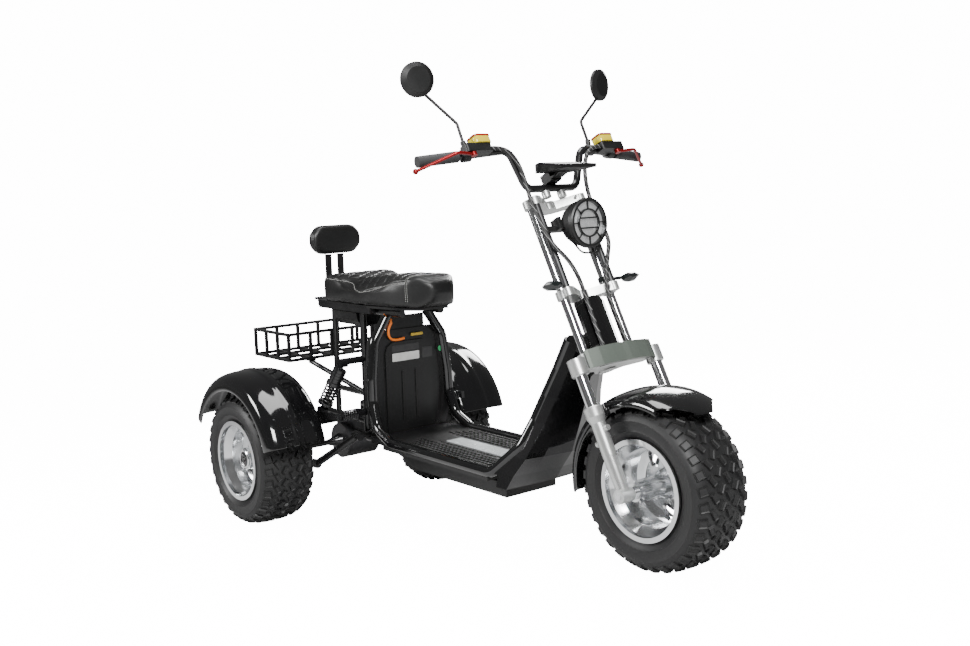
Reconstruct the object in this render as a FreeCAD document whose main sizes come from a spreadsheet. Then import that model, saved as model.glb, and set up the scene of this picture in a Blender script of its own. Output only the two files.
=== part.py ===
import FreeCAD
import Part
import Sketcher
import math
import os

# Three-wheeled electric scooter: one fat front wheel in a long double-crown fork,
# two driven rear wheels on swinging arms, a flat floor, a saddle and a rear basket.
# Lengths are in millimetres.  Chassis pieces are drawn from the rear axle line,
# fork pieces from the foot of the steering axis and body pieces level, and all are set
# down by a placement.  The body stands a little nose down on its rear springs.

os.makedirs("parts", exist_ok=True)
doc = FreeCAD.newDocument("trike")
sheet = doc.addObject("Spreadsheet::Sheet", "dims")
V = FreeCAD.Vector

SIZES = {
    # stance
    "wheelbase": 1543, "rear_track": 784, "rake": 23, "fork_offset": 45,
    "body_pitch": 4.6, "pivot_x": 500, "pivot_z": 200,
    # wheels
    "tyre_radius": 232, "tyre_width": 200, "lug_height": 8, "bead_radius": 130,
    "rim_radius": 139, "rim_width": 188, "rim_wall": 5, "hub_radius": 34,
    "hub_reach": 112, "axle_radius": 9, "bore_gap": 0.05, "tyre_sides": 36,
    # fork, heights measured up the steering axis
    "crown_low": 346, "crown_height": 50, "leg_spread": 147, "upper_spread": 88,
    "mid_clamp": 562, "mid_clamp_height": 24, "top_clamp": 842, "top_clamp_height": 24,
    "stanchion_radius": 17, "stanchion_foot": 92, "leg_radius": 20, "leg_top": 246, "upper_radius": 13,
    "upper_x": 27, "sleeve_radius": 10.5, "crown_drop": 11,
    "stem_radius": 14, "head_radius": 26, "head_gap": 4,
    # handlebar
    "bar_radius": 11, "bar_bend_x": 1176, "bar_bend_y": 140, "bar_bend_z": 1169,
    "bar_flat_y": 96, "bar_end_x": 1135, "bar_end_y": 420, "bar_end_z": 1146,
    "grip_length": 125, "grip_radius": 16,
    "mirror_x": 1060, "mirror_y": 350, "mirror_z": 1378, "mirror_radius": 49,
    "grille_radius": 40,
    # floor and body, in the body's own level
    "floor_top": 283, "floor_front": 1010, "floor_rear": 342, "body_half": 186,
    "floor_thick": 26, "box_front": 381, "box_rear": 252, "box_top": 636,
    "lip_radius": 17, "tray_front": 1000, "tray_rear": 468,
    "tray_half": 100, "tray_bottom": 187,
    "frame_radius": 13, "seat_gap": 0.3, "post_x": 220, "post_y": 80,
    # seat
    "seat_front": 594, "seat_rear": 4, "seat_half": 140, "seat_low": 722,
    "seat_thick": 104, "plate_thick": 8,
    "back_x": -73, "back_z": 930, "back_half": 106, "back_height": 109,
    "back_thick": 50,
    # basket
    "rack_rear": -233, "rack_front": 21, "rack_half": 270, "rack_top": 614,
    "rack_low": 512, "rack_bar": 5,
    # rear suspension and fenders
    "arm_inner": 120, "arm_radius": 13, "arm_height": 260, "arm_low": 182,
    "arm_front": 239, "arm_rear": -60, "knuckle_y": 268, "lug_x": 325, "lug_z": 373,
    "fender_radius": 314, "fender_inner": 280, "fender_outer": 505, "fender_wall": 3,
    "tail": -276,
}

row = 1
for alias, number in SIZES.items():
    sheet.set("A%d" % row, str(number))
    sheet.setAlias("A%d" % row, alias)
    row += 1
doc.recompute()

CENTRE = "(dims.wheelbase + dims.tyre_radius + dims.tail) / 2"
parts = []


def dim(text):
    """Number that an expression on the sheet gives."""
    return float(sheet.evalExpression(str(text).replace("dims.", "")))


def point(x, y, z):
    return V(dim(x), dim(y), dim(z))


def bind(thing, **sizes):
    """Ties properties to sheet expressions, such as Radius or Length."""
    for prop, text in sizes.items():
        thing.setExpression(prop, str(text))


def put(thing, x="0", y="0", z="0", turn=None):
    """Stands a primitive at a bound position, turned first where asked."""
    if turn is not None:
        thing.Placement = FreeCAD.Placement(V(0, 0, 0), turn)
    thing.setExpression("Placement.Base.x", str(x))
    thing.setExpression("Placement.Base.y", str(y))
    thing.setExpression("Placement.Base.z", str(z))
    return thing


def box(name, length, width, height, x, y, z):
    b = doc.addObject("Part::Box", name)
    bind(b, Length=length, Width=width, Height=height)
    return put(b, x, y, z)


def rod(name, radius, length, x, y, z, axis="Z"):
    """Cylinder from a start point along +X, +Y or +Z."""
    turns = {
        "X": FreeCAD.Rotation(V(0, 1, 0), 90),
        "Y": FreeCAD.Rotation(V(1, 0, 0), -90),
        "Z": FreeCAD.Rotation(),
    }
    c = doc.addObject("Part::Cylinder", name)
    bind(c, Radius=radius, Height=length)
    return put(c, x, y, z, turns[axis])


def fuse(name, items):
    f = doc.addObject("Part::MultiFuse", name)
    f.Shapes = items
    return f


def cut(name, base, tool):
    c = doc.addObject("Part::Cut", name)
    c.Base = base
    c.Tool = tool
    return c


def sketch(body, name, plane, points):
    """Closed outline whose corners are tied to sheet expressions."""
    s = body.newObject("Sketcher::SketchObject", name)
    origin = [o for o in body.Origin.OriginFeatures if o.Role == plane]
    s.AttachmentSupport = [(origin[0], "")]
    s.MapMode = "FlatFace"
    flat = [V(dim(a), dim(b), 0) for a, b in points]
    count = len(flat)
    for i in range(count):
        s.addGeometry(Part.LineSegment(flat[i], flat[(i + 1) % count]), False)
    for i in range(count):
        s.addConstraint(Sketcher.Constraint("Coincident", i, 2, (i + 1) % count, 1))
    for i in range(count):
        for kind, value, text in (
            ("DistanceX", flat[i].x, points[i][0]),
            ("DistanceY", flat[i].y, points[i][1]),
        ):
            k = s.addConstraint(Sketcher.Constraint(kind, -1, 1, i, 1, value))
            s.setExpression("Constraints[%d]" % k, str(text))
    return s


def new_body(name):
    return doc.addObject("PartDesign::Body", name)


def pad(body, name, plane, points, length, mirrored=True):
    """Prism of an outline, even about its plane or to one side."""
    p = body.newObject("PartDesign::Pad", name)
    p.Profile = sketch(body, name + "_outline", plane, points)
    p.Midplane = mirrored
    bind(p, Length=length)
    return p


def pocket(body, name, plane, points, length):
    p = body.newObject("PartDesign::Pocket", name)
    p.Profile = sketch(body, name + "_outline", plane, points)
    p.Midplane = True
    bind(p, Length=length)
    return p


def turned(body, name, plane, points, axis, angle=None):
    """Solid of revolution of an outline about an origin axis of its body."""
    r = body.newObject("PartDesign::Revolution", name)
    r.Profile = sketch(body, name + "_outline", plane, points)
    line = [o for o in body.Origin.OriginFeatures if o.Role == axis]
    r.ReferenceAxis = (line[0], [""])
    if angle is not None:
        bind(r, Angle=angle)
    return r


def round_edges(body, name, base, radius, wanted):
    """Fillet on the edges of a feature that a test picks."""
    doc.recompute()
    names = []
    for i, edge in enumerate(base.Shape.Edges):
        if wanted(edge):
            names.append("Edge%d" % (i + 1))
    f = body.newObject("PartDesign::Fillet", name)
    f.Base = (base, names)
    bind(f, Radius=radius)
    body.Tip = f
    return f


def path_wire(points, bend):
    """Straight runs joined by tangent arcs, of one radius or as wide as the runs allow."""
    edges = []
    start = points[0]
    for i in range(1, len(points) - 1):
        a = points[i - 1] - points[i]
        b = points[i + 1] - points[i]
        shorter = min(a.Length, b.Length)
        a.normalize()
        b.normalize()
        half = a.getAngle(b) / 2
        radius = bend or 0.45 * shorter * math.tan(half)
        room = radius / math.tan(half)
        p = points[i] + a * room
        q = points[i] + b * room
        mid_dir = (a + b).normalize()
        centre = points[i] + mid_dir * (radius / math.sin(half))
        m = centre - mid_dir * radius
        edges.append(Part.LineSegment(start, p).toShape())
        edges.append(Part.Arc(p, m, q).toShape())
        start = q
    edges.append(Part.LineSegment(start, points[-1]).toShape())
    return Part.Wire(edges)


def tube_shape(points, radius, bend=40.0):
    """Round bar along a bent path."""
    if len(points) == 2:
        run = points[1] - points[0]
        return Part.makeCylinder(radius, run.Length, points[0], run)
    wire = path_wire(points, bend)
    ring = Part.Wire([Part.makeCircle(radius, points[0], points[1] - points[0])])
    return wire.makePipeShell([ring], True, True)


def feature(name, shape):
    f = doc.addObject("Part::Feature", name)
    f.Shape = shape
    return f


def keep(thing, label, frame="vehicle", side=1):
    """Names a finished sub-part and sets it down in the vehicle."""
    if thing.TypeId in ("Part::Box", "Part::Cylinder"):
        group = doc.addObject("Part::Compound", label + "_set")
        group.Links = [thing]
        thing = group
    thing.Label = label
    spots = {
        "vehicle": ("0", "0", "0", "0"),
        "body": ("dims.pivot_x * (1 - cos(dims.body_pitch))"
                 " - dims.pivot_z * sin(dims.body_pitch)", "0",
                 "dims.pivot_z * (1 - cos(dims.body_pitch))"
                 " + dims.pivot_x * sin(dims.body_pitch)", "dims.body_pitch"),
        "steering": ("dims.wheelbase - dims.fork_offset * cos(dims.rake)", "0",
                     "dims.tyre_radius - dims.fork_offset * sin(dims.rake)", "-dims.rake"),
        "front_wheel": ("dims.wheelbase", "0", "dims.tyre_radius", "0"),
        "rear_wheel": ("0", "%d * dims.rear_track / 2" % side, "dims.tyre_radius", "0"),
    }
    x, y, z, turn = spots[frame]
    spot = "vector(%s - (%s); %s; %s)" % (x, CENTRE, y, z)
    spin = "rotation(vector(0; 1; 0); %s)" % turn
    thing.setExpression("Placement", "placement(%s; %s)" % (spot, spin))
    parts.append(thing)
    return thing


def both(make):
    """A shape and its mirror image in the middle plane, as one compound."""
    left = make(1)
    right = make(-1)
    return Part.Compound([left, right])


def steer_x(x, z):
    """Body point of a point given in the fork's middle plane."""
    r = math.radians(dim("dims.rake"))
    ox = dim("dims.wheelbase") - dim("dims.fork_offset") * math.cos(r)
    oz = dim("dims.tyre_radius") - dim("dims.fork_offset") * math.sin(r)
    px = ox + x * math.cos(r) - z * math.sin(r)
    pz = oz + x * math.sin(r) + z * math.cos(r)
    return pitched(V(px, 0, pz), -1)


def to_fork(p):
    """Point of the vehicle frame, from the rear axle, in the fork's own frame."""
    r = math.radians(dim("dims.rake"))
    ox = dim("dims.wheelbase") - dim("dims.fork_offset") * math.cos(r)
    oz = dim("dims.tyre_radius") - dim("dims.fork_offset") * math.sin(r)
    dx = p.x - ox
    dz = p.z - oz
    return V(dx * math.cos(r) + dz * math.sin(r), p.y, -dx * math.sin(r) + dz * math.cos(r))


# Tyre: a tubeless balloon section that seats on the rim, out to the lug tips.
def tyre(label, frame, side=1):
    profile = [
        ("dims.bead_radius + 2", "dims.rim_width / 2 - 12"),
        ("dims.bead_radius + 18", "dims.rim_width / 2 - 6"),
        ("dims.bead_radius + 34", "dims.tyre_width / 2 - 2"),
        ("dims.tyre_radius - 48", "dims.tyre_width / 2"),
        ("dims.tyre_radius - 28", "dims.tyre_width / 2 - 9"),
        ("dims.tyre_radius - 13", "dims.tyre_width / 2 - 28"),
        ("dims.tyre_radius - dims.lug_height + 1", "dims.tyre_width / 2 - 52"),
    ]
    rings = []
    for i, (radius, y) in enumerate(profile):
        rings.append(polygon_ring("%s_left%d" % (label, i), radius, y, "dims.tyre_sides"))
    for i, (radius, y) in reversed(list(enumerate(profile))):
        rings.append(polygon_ring("%s_right%d" % (label, i), radius, "-(%s)" % y,
                                  "dims.tyre_sides"))
    loft = doc.addObject("Part::Loft", label + "_case")
    loft.Sections = rings
    loft.Solid = True
    loft.Ruled = True
    bore = rod(label + "_bore", "dims.bead_radius", "dims.rim_width", "0",
               "-dims.rim_width / 2", "0", "Y")
    hollow = cut(label + "_hollow", loft, bore)
    doc.recompute()
    lugs = feature(label + "_lugs", tread(int(dim("dims.tyre_sides"))))
    return keep(fuse(label + "_set", [hollow, lugs]), label, frame, side)


# Cast rim: outer well with lips, a dished disc and a hub bored for the axle.


def fork_tubes():
    """Lower stanchions, and the slimmer tubes between the crown and the top clamp."""
    items = []
    for i, side in enumerate(("-", "")):
        items.append(rod("stanchion%d" % i, "dims.stanchion_radius",
                         "dims.crown_low - dims.crown_drop - dims.stanchion_foot",
                         "dims.fork_offset", side + "dims.leg_spread",
                         "dims.stanchion_foot"))
    for i, side in enumerate(("-", "")):
        items.append(rod("upper_tube%d" % i, "dims.upper_radius",
                         "dims.top_clamp - dims.crown_low - dims.crown_height + 3",
                         "dims.upper_x", side + "dims.upper_spread",
                         "dims.crown_low + dims.crown_height - 3"))
    group = doc.addObject("Part::Compound", "fork_tubes_set")
    group.Links = items
    return group


def lower_crown():
    """Cast yoke with a round eye at each stanchion."""
    body = new_body("crown_body")
    half = [
        ("-22", "30"), ("6", "58"), ("dims.fork_offset - 24", "dims.leg_spread - 24"),
        ("dims.fork_offset + 8", "dims.leg_spread - 20"), ("dims.fork_offset + 24", "92"),
        ("dims.fork_offset + 35", "46"), ("dims.fork_offset + 38", "10"),
    ]
    pad(body, "crown_pad", "XY_Plane", mirrored_outline(half), "dims.crown_height - 6", False)
    body.setExpression("Placement.Base.z", "dims.crown_low + 3")
    items = [body, rod("crown_boss", "dims.head_radius", "dims.crown_height", "0", "0",
                       "dims.crown_low")]
    for i, side in enumerate(("-", "")):
        y = side + "dims.leg_spread"
        eye = new_body("crown_eye%d" % i)
        ring = [("0", "0"), ("23", "0"), ("25", "2"), ("25", "dims.crown_height - 4"),
                ("23", "dims.crown_height - 2"), ("0", "dims.crown_height - 2")]
        turned(eye, "crown_ring%d" % i, "XZ_Plane", ring, "Z_Axis")
        put(eye, "dims.fork_offset", y, "dims.crown_low - dims.crown_drop")
        items.append(eye)
    return fuse("crown_set", items)


def clamp(name, low, height, spread, bore):
    """Triple clamp with a round eye at each upper tube and at the stem."""
    body = new_body(name + "_body")
    half = [
        ("-18", "22"), ("dims.upper_x - 12", "%s - 10" % spread),
        ("dims.upper_x + 34", "%s + 6" % spread), ("dims.upper_x + 36", "%s - 14" % spread),
        ("20", "14"),
    ]
    pad(body, name + "_pad", "XY_Plane", mirrored_outline(half), height, False)
    body.setExpression("Placement.Base.z", low)
    solids = [body, rod(name + "_boss", "24", height, "0", "0", low)]
    holes = []
    for i, side in enumerate(("-", "")):
        y = side + spread
        solids.append(rod("%s_eye%d" % (name, i), bore + " + 7", height, "dims.upper_x", y,
                          low))
        solids.append(rod("%s_nose%d" % (name, i), "dims.sleeve_radius + 5", height,
                          "dims.upper_x + dims.upper_radius + dims.sleeve_radius + 0.6", y,
                          low))
        holes.append(rod("%s_hole%d" % (name, i), bore, height, "dims.upper_x", y, low))
    return cut(name + "_cut", fuse(name + "_solid", solids), fuse(name + "_holes", holes))


def top_clamp():
    """Upper clamp with the two risers that hold the handlebar."""
    plate = clamp("top_clamp_plate", "dims.top_clamp", "dims.top_clamp_height",
                  "dims.upper_spread", "dims.upper_radius")
    items = [plate]
    for i, side in enumerate(("-", "")):
        items.append(rod("riser%d" % i, "13", "30 - dims.bar_radius - 0.3",
                         "dims.fork_offset", side + "30",
                         "dims.top_clamp + dims.top_clamp_height"))
    return fuse("top_clamp_set", items)


def fork_legs():
    """Sliders with a flared top ring, side lugs and an eye for the axle."""
    items = []
    for i, side in enumerate(("-", "")):
        y = side + "dims.leg_spread"
        body = new_body("leg_body%d" % i)
        outline = [
            ("0", "-16"), ("dims.leg_radius - 4", "-16"),
            ("dims.leg_radius - 1", "dims.stanchion_foot - 20"),
            ("dims.leg_radius", "dims.stanchion_foot + 20"),
            ("dims.leg_radius", "dims.leg_top - 46"),
            ("dims.leg_radius + 6", "dims.leg_top - 28"),
            ("dims.leg_radius + 7", "dims.leg_top - 4"),
            ("dims.leg_radius + 4", "dims.leg_top"),
            ("dims.stanchion_radius", "dims.leg_top"),
            ("dims.stanchion_radius", "dims.stanchion_foot"), ("0", "dims.stanchion_foot"),
        ]
        turned(body, "leg_turn%d" % i, "XZ_Plane", outline, "Z_Axis")
        put(body, "dims.fork_offset", y, "0")
        lug = rod("leg_lug%d" % i, "19", "2 * dims.leg_radius + 4", "dims.fork_offset",
                  y + " - dims.leg_radius - 2", "0", "Y")
        ears = []
        for j, height in enumerate(("dims.leg_top - 66", "dims.leg_top - 96")):
            way = 1 if j == 0 else -1
            start = "dims.fork_offset + %d" % (way * 18 if way > 0 else -31)
            ears.append(rod("leg_ear%d%d" % (i, j), "8", "13", start, y, height, "X"))
        hole = rod("leg_eye%d" % i, "dims.axle_radius + dims.bore_gap", "80",
                   "dims.fork_offset", y + " - 40", "0", "Y")
        items.append(cut("leg_cut%d" % i, fuse("leg_solid%d" % i, [body, lug] + ears), hole))
    group = doc.addObject("Part::Compound", "fork_legs_set")
    group.Links = items
    return group


def front_axle():
    """Axle with a spacer between each leg and the hub."""
    y = "dims.leg_spread + 26"
    items = [rod("front_axle_rod", "dims.axle_radius", "2 * (%s)" % y,
                 "dims.fork_offset", "-(%s)" % y, "0", "Y")]
    leg = "dims.leg_spread - dims.leg_radius - 2.3"
    items.append(rod("spacer_left", "15", "%s - 60.3" % leg, "dims.fork_offset", "60.3",
                     "0", "Y"))
    items.append(rod("spacer_right", "15", "%s - dims.hub_reach - 0.3" % leg,
                     "dims.fork_offset", "-(%s)" % leg, "0", "Y"))
    return fuse("front_axle_set", items)


def handlebar():
    left = bar_points(1)
    right = bar_points(-1)
    pts = [right[3], right[2], right[1], left[1], left[2], left[3]]
    return feature("handlebar_tube", tube_shape(pts, dim("dims.bar_radius"), 34))


def grips():
    length = dim("dims.grip_length")
    def one(s):
        middle, flat, bend, end = bar_points(s)
        along = (end - bend).normalize()
        start = end - along * (length - 6)
        outer = Part.makeCylinder(dim("dims.grip_radius"), length, start, along)
        inner = Part.makeCylinder(dim("dims.bar_radius"), length - 6, start, along)
        return outer.cut(inner)
    return feature("grip_pair", both(one))


def control_spot(s):
    """Middle of a brake control's head, and the way along the bar to the centre."""
    middle, flat, bend, end = bar_points(s)
    along = (bend - end).normalize()
    ring = end + along * (dim("dims.grip_length") + 8)
    return ring, along, ring + along * 20 + V(29, 0, 2)


def mirrors():
    """Round mirrors on bent stalks, one from a clamp of its own on the left bar."""
    kinks = {1: V(1158, 168, 1252), -1: V(1150, -292, 1246)}
    def one(s):
        c = V(dim("dims.mirror_x"), s * dim("dims.mirror_y"), dim("dims.mirror_z"))
        face = V(-1, -0.25 * s, 0.05).normalize()
        back = to_fork(c - face) - to_fork(c)
        r = dim("dims.mirror_radius")
        disc = Part.makeCylinder(r, 9, to_fork(c), back)
        disc = disc.fuse(Part.makeCone(r, r - 14, 8, to_fork(c - face * 9), back))
        kink = to_fork(kinks[s])
        if s > 0:
            spot, along = mirror_spot()
            middle = spot + along * 10
            lean = kink - middle
            up = (lean - along * lean.dot(along)).normalize()
            foot = middle + up * 17.3
        else:
            ring, along, m = control_spot(s)
            foot = m + V(-4, s * 23, 12.3)
            up = V(0, 0, 1)
        edge = to_fork(c - face * 9 - V(0, s * 20, r - 8))
        stalk = tube_shape([foot + up * 7, kink, edge], 4.5, 14)
        nut = Part.makeCylinder(8, 14, foot, up)
        return disc.fuse([stalk, nut])
    return feature("mirror_pair", both(one))


def controls():
    """Clamps and heads of the brake controls, and the left mirror's clamp."""
    def one(s):
        ring, along, m = control_spot(s)
        clamp_ring = Part.makeCylinder(18, 24, ring, along)
        neck = Part.makeBox(30, 20, 18, m - V(29, -s * 10 + 10, 9))
        shape = clamp_ring.fuse([control_head(s, m), neck])
        bar = Part.makeCylinder(dim("dims.bar_radius + dims.seat_gap"), 300,
                                ring - along * 150, along)
        grip = Part.makeCylinder(dim("dims.grip_radius + dims.seat_gap"),
                                 dim("dims.grip_length + 20"), ring - along * 8.3,
                                 along * -1)
        return shape.cut(bar.fuse(grip))
    left = one(1).fuse(mirror_clamp())
    return feature("control_pair", Part.Compound([left, one(-1)]))


def headlight():
    """Round lamp with a wire grille, on a bar across the fork."""
    body = new_body("headlight_body")
    outline = [
        ("0", "-72"), ("36", "-72"), ("52", "-60"), ("62", "-40"), ("66", "-14"),
        ("70", "-12"), ("70", "0"), ("66", "3"), ("60", "3"), ("60", "-12"), ("0", "-12"),
    ]
    turned(body, "headlight_turn", "XY_Plane", outline, "Y_Axis")
    body.Placement = lamp_spot()
    grille = lamp_grille()
    grille.Placement = lamp_spot()
    bar = box("headlight_bar", "14", "196", "16",
              "dims.upper_x + dims.upper_radius + 2 * dims.sleeve_radius + 1", "-98", "748")
    ears = []
    for i, side in enumerate(("-", "")):
        ears.append(box("headlight_ear%d" % i, "34", "12", "34",
                        "dims.upper_x + dims.upper_radius + 2 * dims.sleeve_radius + 1",
                        side + "66 - 6", "748"))
    loop = feature("lamp_loop", tube_shape([V(84, -34, 706), V(96, -30, 668),
                                            V(104, 30, 660), V(92, 34, 704)], 3, 16))
    return fuse("headlight_set", [body, feature("lamp_grille", grille), bar, loop] + ears)


def display():
    """Level wedge of a display on a foot that stands on the handlebar."""
    body = new_body("display_body")
    outline = [("-55", "-12"), ("55", "-6"), ("55", "4"), ("-40", "18"), ("-55", "13")]
    pad(body, "display_pad", "XZ_Plane", outline, "134")
    body.Placement = FreeCAD.Placement(V(126, 0, 920),
                                       FreeCAD.Rotation(V(0, 1, 0), dim("dims.rake")))
    rise = "dims.top_clamp + dims.top_clamp_height + 30 + dims.bar_radius + 0.3"
    foot = box("display_foot", "40", "40", "30", "dims.fork_offset - 10", "-20", rise)
    arm = box("display_arm", "80", "40", "6", "dims.fork_offset - 10", "-20",
              "%s + 4" % rise)
    return fuse("display_set", [body, foot, arm])


def signals():
    """Leaf-shaped turn signals on short stalks from the fork tubes."""
    gap = dim("dims.upper_spread + dims.upper_radius") + 0.3
    def one(s):
        leaf = [(0, -7), (22, -15), (46, -13), (70, 1), (48, 13), (20, 12), (0, 6)]
        rings = []
        for x, size in ((-17, 0.5), (0, 1.0), (10, 0.9), (17, 0.45)):
            ring = [V(64 + x, s * (118 + 34 + (a - 34) * size), 592 + b * size)
                    for a, b in leaf]
            rings.append(Part.makePolygon(ring + ring[:1]))
        shell = Part.makeLoft(rings, True, True)
        arm = tube_shape([V(dim("dims.upper_x"), s * gap, 606), V(64, s * 128, 593)], 5)
        band = Part.makeCylinder(dim("dims.upper_radius") + 5, 16,
                                 V(dim("dims.upper_x"), s * dim("dims.upper_spread"), 598),
                                 V(0, 0, 1))
        tube = Part.makeCylinder(dim("dims.upper_radius") + 0.3, 40,
                                 V(dim("dims.upper_x"), s * dim("dims.upper_spread"), 590),
                                 V(0, 0, 1))
        ahead = dim("dims.upper_x + dims.upper_radius + dims.sleeve_radius") + 0.6
        sleeve = Part.makeCylinder(dim("dims.sleeve_radius") + 0.6, 40,
                                   V(ahead, s * dim("dims.upper_spread"), 590), V(0, 0, 1))
        return shell.fuse([arm, band]).cut(tube.fuse(sleeve))
    return feature("signal_pair", both(one))


def mudguard():
    """Front guard on the fork, long behind and drawn to a point in front."""
    rim_line = [(226, -109), (240, -107), (250, -98), (258, -80), (263, -54), (265, -12),
                (268, 0), (265, 12), (263, 54), (258, 80), (250, 98), (240, 107),
                (226, 109)]
    shape = arch(shell_section(rim_line, 3), 27, 137)
    plan = [(-400, -130), (130, -130), (196, -92), (244, -14), (244, 14), (196, 92),
            (130, 130), (-400, 130)]
    corners = [V(a, b, -400) for a, b in plan]
    outline = Part.Face(Part.makePolygon(corners + corners[:1])).extrude(V(0, 0, 900))
    shape = shape.common(outline)
    shape.translate(V(dim("dims.fork_offset"), 0, 0))
    items = [feature("mudguard_shell", shape)]
    for i, side in enumerate(("-", "")):
        start = "105" if side == "" else "-dims.leg_spread + dims.leg_radius + 7.3"
        items.append(box("guard_lug%d" % i, "30",
                         "dims.leg_spread - dims.leg_radius - 7.3 - 105", "34",
                         "dims.fork_offset - 15", start, "214"))
    return fuse("mudguard_set", items)


def main_frame():
    """Head tube and the two tubes that run down, under the floor and up behind."""
    a, b = head_ends()
    head = Part.makeCylinder(dim("dims.head_radius"), (b - a).Length, a, b - a)
    bore = Part.makeCylinder(dim("dims.stem_radius + dims.bore_gap"), (b - a).Length, a,
                             b - a)
    shapes = [head] + [frame_run(s, dim("dims.frame_radius")) for s in (-1, 1)]
    r = dim("dims.frame_radius")
    px = dim("dims.post_x")
    py = dim("dims.post_y")
    rail = dim("dims.seat_low - dims.plate_thick - 2 * dims.seat_gap - dims.frame_radius")
    low = dim("dims.arm_height")
    inner = dim("dims.arm_inner")
    under = dim("dims.floor_top - dims.floor_thick - dims.seat_gap - dims.frame_radius")
    front = dim("dims.arm_front")
    rear = dim("dims.arm_rear")
    back = dim("dims.rack_front + 10 + dims.seat_gap")
    for x in (front, rear):
        shapes.append(Part.makeCylinder(12, 2 * inner, V(x, -inner, low), V(0, 1, 0)))
    shapes.append(Part.makeCylinder(12, 380, V(px, -190, 524), V(0, 1, 0)))
    side = spring_spot()
    wide = dim("dims.body_half - dims.lip_radius")
    shapes.append(Part.makeCylinder(12, 2 * wide, V(side.x, -wide, side.z), V(0, 1, 0)))
    for s in (-1, 1):
        shapes.append(tube_shape([V(px, s * py, side.z), V(side.x, s * py, side.z)], 10))
        shapes.append(tube_shape([V(px, s * py, low + 42), V(rear, s * py, low + 42)], 12))
        shapes.append(tube_shape([V(rear, s * py, low), V(rear, s * py, low + 42)], 10))
        shapes.append(tube_shape([V(back, s * py, low + 42), V(back, s * py, rail)], 10))
        shapes.append(tube_shape([V(px, s * py, under), V(px, s * py, rail)], r))
        shapes.append(tube_shape([V(-60, s * py, rail), V(460, s * py, rail)], r))
        shapes.append(tube_shape([V(back, s * py, 400), V(px, s * py, 400)], 10))
    solid = shapes[0].fuse(shapes[1:])
    return feature("frame_tubes", solid.cut(bore))


def head_room():
    """Space that the shield leaves round the steering head."""
    a = steer_x(0, dim("dims.crown_low - 40"))
    b = steer_x(0, dim("dims.mid_clamp"))
    tube = Part.makeCylinder(dim("dims.head_radius + dims.seat_gap"), (b - a).Length, a,
                             b - a)
    sweep = Part.makeCylinder(72, dim("dims.crown_height + 50"), a, b - a)
    return tube.fuse(sweep)


def head_middle():
    low, high = head_ends()
    return (low + high) * 0.5


def frame_run(s, radius):
    """One of the twin tubes from the steering head to the rear post."""
    mid = head_middle()
    low = dim("dims.floor_top - dims.floor_thick - dims.seat_gap - dims.frame_radius")
    px = dim("dims.post_x")
    py = dim("dims.post_y")
    pts = [V(mid.x - 8, s * 14, mid.z - 30), V(1062, s * 40, low), V(px, s * py, low)]
    return tube_shape(pts, radius, 60)


def floor_deck():
    """Ribbed floor with a raised plain panel in the middle."""
    rear = dim("dims.floor_rear")
    front = dim("dims.floor_front")
    half = dim("dims.body_half") - 5
    body = new_body("deck_body")
    outline = [
        ("dims.floor_rear", "dims.body_half - 38"),
        ("dims.floor_rear + 84", "dims.body_half - 34"),
        ("dims.floor_rear + 120", "dims.body_half - 5"),
        ("dims.floor_front", "dims.body_half - 5"),
    ]
    pad(body, "deck_pad", "XY_Plane", mirrored_outline(outline), "dims.floor_thick", False)
    body.setExpression("Placement.Base.z", "dims.floor_top - dims.floor_thick")
    ribs = []
    for i in range(5):
        for j, side in enumerate(("-", "")):
            y = "%s(62 + %d * 18) - 4" % (side, i)
            start = "dims.floor_rear + %d" % (170 + 12 * i)
            rib = box("deck_rib%d%d" % (i, j), "dims.floor_front - 60 - (%s)" % start, "8",
                      "3", start, y, "dims.floor_top")
            ribs.append(rib)
    panel = new_body("deck_panel")
    plate = [(rear + 240, 36), (rear + 270, 44), (front - 130, 44), (front - 100, 36)]
    pad(panel, "panel_pad", "XY_Plane", mirrored_outline(plate), "2", False)
    panel.setExpression("Placement.Base.z", "dims.floor_top")
    solid = fuse("deck_solid", [body, panel] + ribs)
    rails = feature("deck_rails", both(lambda s: rail_run(s, dim("dims.lip_radius") + 0.3)))
    return cut("deck_set", solid, rails)


def leg_shield():
    """Front panel that rises from the floor to the steering head, and the head's guard."""
    base = dim("dims.floor_top - dims.floor_thick")
    def ring(z, rear, front, middle, half):
        edge = (front + middle) / 2
        inner = rear + 14
        return Part.makePolygon([
            V(rear, -half, z), V(front, -half, z), V(edge, -half * 0.62, z),
            V(middle, 0, z), V(edge, half * 0.62, z), V(front, half, z),
            V(rear, half, z), V(rear, half * 0.8, z), V(inner, half * 0.66, z),
            V(inner, -half * 0.66, z), V(rear, -half * 0.8, z), V(rear, -half, z)])
    sections = [ring(base - 8, 996, 1100, 1112, dim("dims.body_half") - 2),
                ring(292, 1024, 1124, 1142, dim("dims.body_half") - 10),
                ring(345, 1086, 1158, 1184, 158), ring(445, 1134, 1190, 1224, 112),
                ring(520, 1160, 1220, 1250, 88), ring(600, 1196, 1252, 1276, 72),
                ring(700, 1244, 1294, 1308, 62)]
    solid = Part.makeLoft(sections, True, True)
    for s in (-1, 1):
        solid = solid.cut(frame_run(s, dim("dims.frame_radius + dims.seat_gap")))
        solid = solid.cut(rail_run(s, dim("dims.lip_radius + dims.seat_gap")))
    solid = solid.cut(head_room())
    deck = Part.makeBox(614, 600, 60, V(440, -300, dim("dims.floor_top") - 59.7))
    return feature("shield_loft", Part.Compound([solid.cut(deck), neck_cover()]))


def side_rails():
    """Lips of the body, cut off under the frame's seat rails."""
    top = under_rails()
    above = Part.makeBox(200, 600, 90, V(dim("dims.box_front") - 100, -300, top))
    def one(s):
        return rail_run(s, dim("dims.lip_radius")).cut(above)
    return feature("rail_pair", both(one))


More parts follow.
